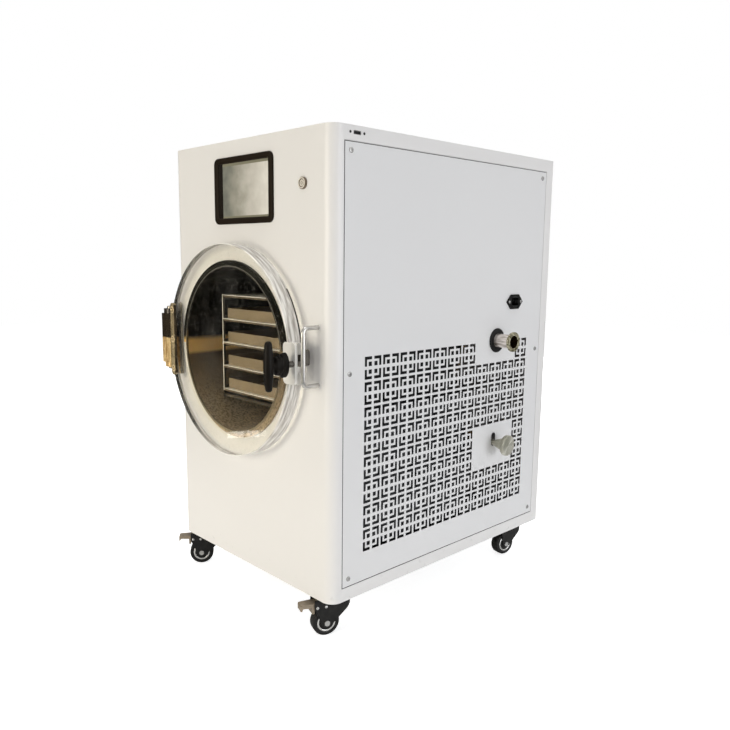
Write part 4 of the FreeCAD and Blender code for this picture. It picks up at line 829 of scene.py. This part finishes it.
# Door: a thick disc turned from clear cast acrylic, its faces polished and both rims chamfered.
# Light that lamps send through it isn't held up, and its edge is pale where it carries light from all round.
acrylic = Finish("clear_acrylic")
smear = (acrylic.noise(0.05, detail=4.0, stretch=(1, 1, 0.4)) - 0.50).held()
slant = acrylic.node("ShaderNodeLayerWeight", {"Blend": 0.5}, out="Facing").power(5) * 0.96 + 0.03
bent = acrylic.node("ShaderNodeBsdfRefraction", {
    "Color": (0.985, 0.98, 0.965), "IOR": 1.49, "Roughness": smear * 0.03})
gloss = acrylic.node("ShaderNodeBsdfGlossy", {"Color": (1.0, 1.0, 1.0), "Roughness": 0.01 + 0.1 * smear})
clear = acrylic.node("ShaderNodeBsdfTransparent", {"Color": (0.93, 0.94, 0.93)})
dust = acrylic.node("ShaderNodeBsdfDiffuse", {"Color": (0.80, 0.78, 0.74)})
specks = (acrylic.noise(0.0045, detail=6.0) - 0.59).held() * 6 + 0.7 * smear
polished = acrylic.blend((slant + smear * 0.05).held(), bent, gloss)
dusty = acrylic.blend((specks * 0.12).held(), polished, dust)
acrylic.close(acrylic.blend(acrylic.node("ShaderNodeLightPath", out="Is Shadow Ray"), dusty, clear))

edge = Finish("acrylic_edge")
streak = edge.noise(0.0045, detail=4.0, stretch=(0.10, 1, 0.10))
patch = edge.noise(0.05, detail=2.0)
far_side = ((door_middle.x - 0.05 - edge.place("X")) * 14).held()
front_rim = ((door_low.y + 0.021 - edge.place("Y")) * 300).held()
rise = edge.place("Z") - door_middle.z
back_rim = ((edge.place("Y") - door_high.y + 0.0045) * 2000).held() * (rise > -0.01) * (rise < 0.12)
shaded = (far_side * front_rim + back_rim * (1 - far_side)).held()
pale = edge.mix((streak * 4.0 - 1.4).held(), (0.52, 0.48, 0.43), (1.0, 0.98, 0.93))
lit_edge = edge.mix((patch * 3.0 - 1.55).held() * 0.6, pale, (0.40, 0.37, 0.34))
edge.surface(Base_Color=edge.mix(shaded, lit_edge, (0.020, 0.019, 0.018)), Roughness=0.10 + 0.10 * streak,
             Alpha=(0.72 + 0.25 * streak + shaded).held(), Coat_Weight=0.3)
chamfer = 0.0015
eased = chamfer * 0.35
door = turned("acrylic_door", (0, 1, 0), (door_middle.x, 0, door_middle.z), [
    (door_low.y, 0), (door_low.y, door_radius - chamfer), (door_low.y + eased, door_radius - eased),
    (door_low.y + chamfer, door_radius), (door_high.y - chamfer, door_radius),
    (door_high.y - eased, door_radius - eased), (door_high.y, door_radius - chamfer),
    (door_high.y, 0)], acrylic.material, sides=256, sharp=20)
door.data.materials.append(edge.material)
for face in door.data.polygons:
    face.material_index = 1 if abs(face.normal.y) < 0.9 else 0
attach(door, "door")
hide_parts("door_disc")


# Hinge: a cast leaf with round ends on the door's rim, its knuckle turning between the fixed bracket's lugs.
# It is brass, painted reflection leaves the upper knuckle nearly black, and three ringed nuts hold the leaf.
hinge_at = Vector(joints["door_swing"]["pos_m"])
bolts_low, bolts_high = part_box("hinge_bolts")
bolt_x = (bolts_low.x + bolts_high.x) / 2
bolt_radius = (bolts_high.x - bolts_low.x) / 2
bolt_rows = [bolts_low.z + bolt_radius, (bolts_low.z + bolts_high.z) / 2, bolts_high.z - bolt_radius]


def worn_brass(name, tone, bossed):
    """Brass in upright streaks, with painted reflection on the knuckle (near black above, bright below), painted
    shade along the leaf's sides and painted highlight rings round the bolts.
    """
    metal = Finish(name)
    streaks = metal.noise(0.005, detail=3.0, stretch=(1, 1, 0.22))
    patch = metal.noise(0.010, detail=2.0)
    # Painted reflection: the knuckle is near black above the joint's height and bright gold below.
    upper = ((metal.place("Z") - hinge_at.z - 0.001) * 600 + patch * 3 - 1.5).held()
    knuckle = ((bolt_x - 0.0085 - metal.place("X")) * 3000).held()
    # Painted shade along the leaf's sides.
    rim = ((abs(metal.place("X") - bolt_x) - 0.0062) * 1500).held() * (1 - knuckle)
    # Painted highlights: bright rings round the bolts.
    boss_highlights = 0
    for bolt_z in bolt_rows:
        reach = metal.off(Vector((bolt_x, 0, bolt_z)))[2]
        boss_highlights = boss_highlights + (reach > 0.0046) * (reach < 0.0070)
    boss_highlights = boss_highlights.held() * (1 - knuckle) * bossed
    rubbed = metal.mix((streaks * 3.2 - 1.1).held(), tuple(part * 0.42 for part in tone), tone)
    bright = metal.mix((streaks * 3.2 - 1.0).held(), (0.42, 0.24, 0.085), (0.92, 0.68, 0.34))
    gold = metal.mix(knuckle * (1 - upper), rubbed, bright)
    dark = (knuckle * upper * 0.94 + rim * 0.8 * bossed).held()
    with_painted_light = metal.mix(dark, gold, (0.018, 0.012, 0.008))
    return metal.surface(Base_Color=metal.mix(boss_highlights * 0.85, with_painted_light, (0.90, 0.72, 0.44)), Metallic=0.30,
                         Roughness=0.18 + 0.16 * patch, Normal=metal.bump(streaks, 0.18, 0.0006))


dress("hinge_leaf", worn_brass("leaf_brass", (0.50, 0.40, 0.235), 1))
dress("hinge_bracket", worn_brass("bracket_brass", (0.62, 0.57, 0.47), 0))
dress("hinge_pin", brushed("pin_steel", (0.42, 0.38, 0.32), rough=0.18, size=0.003, bare=0.6))
nut_brass = brushed("nut_brass", (0.62, 0.50, 0.30), rough=0.16, size=0.003, bare=0.5)
bolt_top = bolts_high.y - bolts_low.y
cap_nut = turned("nut_model", (0, -1, 0), (0, 0, 0),
                 [(0, 0), (0, 0.0043), (0.0007, 0.0043), (0.0011, 0.0038), (0.0011, 0.0031), (0.0007, 0.0029),
                  (0.0007, 0.0025), (bolt_top * 0.8, 0.0023), (bolt_top * 0.95, 0.0017), (bolt_top, 0.0008),
                  (bolt_top, 0)], nut_brass, sides=32)
hinge_nuts = repeated("hinge_cap_nuts", cap_nut, [(bolt_x, bolts_high.y, z) for z in bolt_rows], nut_brass)
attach(hinge_nuts, "door")
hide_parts("hinge_bolts")


# Latch: a polished block on the door's rim carries the shaft, which a moulded T-grip turns.
# The grip's ribbed hub is one moulding with it, and the bent rod on the cabinet is chromed.
block = brushed("block_polish", (0.96, 0.94, 0.89), rough=0.16, size=0.002, stretch=(1, 1, 0.1), bare=0.1)
shaft = brushed("shaft_steel", (0.15, 0.14, 0.125), rough=0.25, size=0.002, bare=0.6)
rod = brushed("rod_chrome", (0.64, 0.63, 0.60), rough=0.16, size=0.004, bare=0.7)
dress("latch_block", block)
dress("latch_shaft", shaft)
dress("latch_catch", rod)

grip_black = moulded("grip_black", (0.005, 0.004, 0.003), (0.010, 0.008, 0.006), 0.02, 0.34, 0.14, 0.0009,
                     (0.18, 0.0004), Specular_IOR_Level=0.10)
latch_at = Vector(joints["latch_turn"]["pos_m"])
handle_low, handle_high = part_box("t_handle")
grip_radius = 0.0085
grip_half = (handle_high.z - handle_low.z) / 2
grip_y = handle_low.y + grip_radius
swell = [(-1.0, 0.0), (-0.992, 0.28), (-0.97, 0.48), (-0.93, 0.63), (-0.87, 0.71), (-0.70, 0.79),
         (-0.48, 0.90), (-0.24, 0.98), (0.0, 1.0)]
swell += [(-along, across) for along, across in reversed(swell[:-1])]
grip = turned("t_grip", (0, 0, 1), (latch_at.x, grip_y, latch_at.z),
              [(along * grip_half, across * grip_radius) for along, across in swell], grip_black,
              sides=64, sharp=60)
hub_long, hub_radius = 0.0240, 0.0205
hub_steps = [(-0.0150, 0.0), (-0.0150, 0.0068), (-0.0030, 0.0068), (-0.0008, 0.0095), (0.0012, 0.0150),
             (0.0036, 0.0158), (0.0046, 0.0138), (0.0060, 0.0138), (0.0070, 0.0164), (0.0096, 0.0170),
             (0.0106, 0.0150), (0.0122, 0.0150), (0.0132, 0.0192), (0.0148, hub_radius), (0.0222, hub_radius),
             (0.0235, 0.0193), (hub_long, 0.0175), (hub_long, 0.0)]
hub_front = handle_high.y - hub_long
hub = turned("t_grip_hub", (0, 1, 0), (latch_at.x, hub_front, latch_at.z), hub_steps, grip_black,
             sides=64, sharp=40)
flatten = 0.0070 / hub_radius
for vert in hub.data.vertices:
    off_axis = vert.co.x - latch_at.x
    beyond = math.hypot(off_axis, vert.co.z - latch_at.z) / hub_radius
    vert.co.x = latch_at.x + off_axis * (1 - (1 - flatten) * min(1, max(0, beyond * 1.5 - 0.5)))
for piece in (grip, hub):
    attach(piece, "latch")
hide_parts("t_handle")


# Ports: the appliance inlet, the vacuum tube with its clamp flange in a rubber grommet, and the drain's knob.
# The inlet is moulded nylon; the flange and the knob are turned and show the lathe's circular marks.
nylon = Finish("inlet_nylon")
mould = nylon.noise(0.0008)
collar = (abs(nylon.off(inlet_middle, "YZ")[2] - 0.0110) < 0.0009) * 0.9
nylon_tone = nylon.mix(nylon.noise(0.01), (0.004, 0.004, 0.004), (0.008, 0.008, 0.008))
nylon.surface(Base_Color=nylon.mix(collar, nylon_tone, (0.030, 0.031, 0.030)),
              Roughness=0.40 + 0.15 * mould, Specular_IOR_Level=0.12, Normal=nylon.bump(mould, 0.2, 0.0003))
dress("power_inlet", nylon.material)
inlet_screws_low, inlet_screws_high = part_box("inlet_screws")
inlet_screw_radius = (inlet_screws_high.z - inlet_screws_low.z) / 2
inlet_screw_ys = (inlet_screws_low.y + inlet_screw_radius, inlet_screws_high.y - inlet_screw_radius)
inlet_screw_points = [(inlet_screws_low.x, y, inlet_middle.z) for y in inlet_screw_ys]
inlet_screws = cross_heads("inlet_screw_heads", inlet_screw_points, inlet_screw_radius,
                           inlet_screws_high.x - inlet_screws_low.x, screw_steel)
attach(inlet_screws, "cabinet")
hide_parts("inlet_screws")

rubber = Finish("black_rubber")
dust = (rubber.noise(0.008, detail=4.0) - 0.5).held()
rubber.surface(Base_Color=rubber.mix(dust, (0.006, 0.006, 0.006), (0.05, 0.047, 0.044)),
               Roughness=0.55 + 0.2 * rubber.noise(0.002), Specular_IOR_Level=0.3,
               Normal=rubber.bump(rubber.noise(0.0006), 0.2, 0.0003))
dress("port_grommet", rubber.material)

port_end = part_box("vacuum_port")[1].x
port_nickel = Finish("port_nickel")
lines = port_nickel.noise(0.0035, detail=3.0, stretch=(0.12, 1, 1))
mottle = port_nickel.noise(0.004, detail=3.0)
tube_tint = port_nickel.mix((lines * 3.0 - 1.0).held(), (0.23, 0.20, 0.17), (0.88, 0.82, 0.78))
flange_tint = port_nickel.mix((mottle * 4.0 - 1.5).held(), (0.10, 0.085, 0.035), (0.66, 0.62, 0.44))
on_flange = ((port_nickel.place("X") - port_end + 0.010) * 400).held()
# Painted shade: the bore is painted near black.
painted_bore_shade = port_nickel.off(port_at, "YZ")[2] < 0.0129
outside = port_nickel.mix(on_flange, tube_tint, flange_tint)
port_nickel.surface(Base_Color=port_nickel.mix(painted_bore_shade, outside, (0.035, 0.022, 0.008)), Metallic=0.45,
                    Roughness=0.14 + 0.16 * mottle, Normal=port_nickel.bump(lines, 0.10, 0.0003))
dress("vacuum_port", port_nickel.material)

knob_steel = Finish("knob_steel")
off_y, off_z, reach = knob_steel.off(drain_at, "YZ")
# Painted highlight: a bright diagonal band across the knob's face, darker to either side.
fan = (off_y - off_z) / (reach + 0.0004)
grain = knob_steel.noise(0.0012, detail=3.0)
marks = (reach * 9000).sine()
knob_painted_highlight = knob_steel.ramp((fan * 0.35 + 0.5 + 0.12 * (grain - 0.5)).held(), [
    (0.10, (0.33, 0.325, 0.26)), (0.30, (0.43, 0.42, 0.35)), (0.48, (0.66, 0.65, 0.57)),
    (0.53, (0.66, 0.65, 0.57)), (0.62, (0.40, 0.39, 0.32)), (0.92, (0.50, 0.49, 0.42))])
knob_steel.surface(Base_Color=knob_painted_highlight, Metallic=0.25, Roughness=0.26 + 0.05 * marks + 0.12 * grain,
                   Normal=knob_steel.bump(marks, 0.10, 0.0001))
dress("drain_knob", knob_steel.material)
brass = brushed("valve_brass", (0.55, 0.40, 0.18), rough=0.30)
for name in ("drain_valve", "drain_line"):
    dress(name, brass)


# Machinery behind the vents: a finned condenser, its fan, and a hermetic compressor in black enamel.
# The condenser's fins are thin aluminium strips pressed on to its tubes.
enamel = moulded("black_enamel", (0.008, 0.008, 0.009), (0.020, 0.019, 0.018), 0.05, 0.22, 0.12, 0.01,
                 Coat_Weight=0.3)
blade = moulded("blade_nylon", (0.012, 0.012, 0.012), (0.03, 0.03, 0.03), 0.02, 0.45, 0.1, 0.002)
dress("compressor", enamel)
dress("fan_rotor", blade)
coil_low, coil_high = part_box("condenser_coil")
fin_finish = brushed("fin_aluminium", (0.46, 0.48, 0.50), rough=0.38, size=0.002)
fins = Pattern("fin_pack", {
    "Finish": "Material", "Thick": "Float", "Deep": "Float", "Tall": "Float",
    "Fins": "Int", "Gap": "Float", "First": "Vector"})
fin = fins.node("ShaderNodeCombineXYZ", {
    "X": fins.size("Deep"), "Y": fins.size("Thick"), "Z": fins.size("Tall")})
strip = fins.node("GeometryNodeMeshCube", {"Size": fin})
step = fins.node("ShaderNodeCombineXYZ", {"Y": fins.size("Gap")})
line = fins.node("GeometryNodeMeshLine", {
    "Count": fins.size("Fins"), "Start Location": fins.size("First"), "Offset": step})
fins.close(fins.node("GeometryNodeInstanceOnPoints", {"Points": line, "Instance": strip}), joined=False)
fin_count, fin_thick = 96, 0.0004
fin_gap = (coil_high.y - coil_low.y - fin_thick) / (fin_count - 1)
condenser = solid("condenser_fins", bmesh.new(), fin_finish)
fins.make(condenser, {"Finish": fin_finish, "Thick": fin_thick, "Deep": coil_high.x - coil_low.x,
                      "Tall": coil_high.z - coil_low.z, "Fins": fin_count, "Gap": fin_gap,
                      "First": ((coil_low.x + coil_high.x) / 2, coil_low.y + fin_thick / 2,
                                (coil_low.z + coil_high.z) / 2)})
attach(condenser, "cabinet")
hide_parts("condenser_coil")


# Casters: nylon hoods on ball-bearing swivels, polyurethane wheels with a bright cover ring, plated axles.
# The two at the front have a pressed pedal, which is painted beige and rubbed by shoes.
hood = Finish("hood_nylon")
scratch = hood.noise(0.0010, detail=3.0)
hood.surface(Base_Color=hood.mix((hood.noise(0.01, detail=3.0) - 0.45).held(), (0.004, 0.004, 0.004),
                                 (0.03, 0.027, 0.024)),
             Roughness=0.30 + 0.2 * scratch, Specular_IOR_Level=0.3, Normal=hood.bump(scratch, 0.18, 0.0003))
tread = Finish("tread_polyurethane")
wear = (tread.noise(0.006, detail=4.0) - 0.5).held()
tread.surface(Base_Color=tread.mix(wear, (0.005, 0.005, 0.005), (0.05, 0.047, 0.043)),
              Roughness=0.38 + 0.25 * tread.noise(0.003), Specular_IOR_Level=0.3)
cover_ring = brushed("cover_ring", (0.80, 0.80, 0.79), rough=0.20, size=0.001)
pedal_paint = Finish("pedal_paint")
rubbed = (pedal_paint.noise(0.005, detail=4.0) - 0.48).held()
pedal_tint = pedal_paint.mix(rubbed * 2, (0.30, 0.245, 0.180), (0.16, 0.13, 0.10))
pedal_paint.surface(Base_Color=pedal_tint, Metallic=0.35, Roughness=0.36 + 0.2 * rubbed)
wheel_half = [(0.0, 0.0031), (0.0104, 0.0031), (0.0104, 0.0100), (0.0097, 0.0112), (0.0097, 0.0136),
              (0.0100, 0.0140), (0.0100, 0.0168), (0.0096, 0.0172), (0.0096, 0.0186), (0.0100, 0.0192),
              (0.0100, 0.0222), (0.0094, 0.0238), (0.0078, 0.0248), (0.0050, 0.02498), (0.0, 0.0250)]
wheel_profile = wheel_half[1:-1] + [(-along, across) for along, across in reversed(wheel_half[1:-1])]
ring_profile = [(0.0099, 0.0138), (0.0103, 0.0141), (0.0104, 0.0150), (0.0103, 0.0166), (0.0099, 0.0170)]
rivet_profile = [(0, 0), (0, 0.0029), (0.0006, 0.0028), (0.0012, 0.0020), (0.0015, 0)]
rivet_drop, cheek_off, rivets_apart = 0.004, 0.01348, 0.016
for corner in ("front_left", "front_right", "rear_left", "rear_right"):
    roll_joint = joints[f"wheel_{corner}_roll"]
    hub_at, axle = Vector(roll_joint["pos_m"]), Vector(roll_joint["axis"])
    wheel = turned(f"wheel_{corner}", axle, hub_at, wheel_profile, tread.material, sides=72, sharp=35)
    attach(wheel, f"wheel_{corner}")
    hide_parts(f"caster_wheel_{corner}")
    for side, face in (("a", 1), ("b", -1)):
        faced = [(along * face, across) for along, across in ring_profile]
        ring = turned(f"wheel_ring_{corner}_{side}", axle, hub_at, faced, cover_ring, sides=72, sharp=50)
        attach(ring, f"wheel_{corner}")
    dress(f"caster_fork_{corner}", hood.material)
    dress(f"caster_axle_{corner}", screw_steel)
    if corner.startswith("front"):
        dress(f"brake_pedal_{corner}", pedal_paint.material)
        swivel = Vector(joints[f"swivel_{corner}_turn"]["pos_m"])
        pivot = Vector(joints[f"brake_{corner}_press"]["pos_m"])
        trail = Vector((pivot.x - swivel.x, pivot.y - swivel.y, 0)).normalized()
        for end, side in (("b", -1), ("a", 1)):
            rivet = turned("rivet_model", axle * side, (0, 0, 0), rivet_profile, screw_steel,
                           sides=24, sharp=70)
            near_pedal = pivot - Vector((0, 0, rivet_drop)) + axle * side * cheek_off
            piece = repeated(f"hood_rivets_{corner}_{end}", rivet,
                             [near_pedal, near_pedal - trail * rivets_apart], screw_steel)
            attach(piece, f"swivel_{corner}")
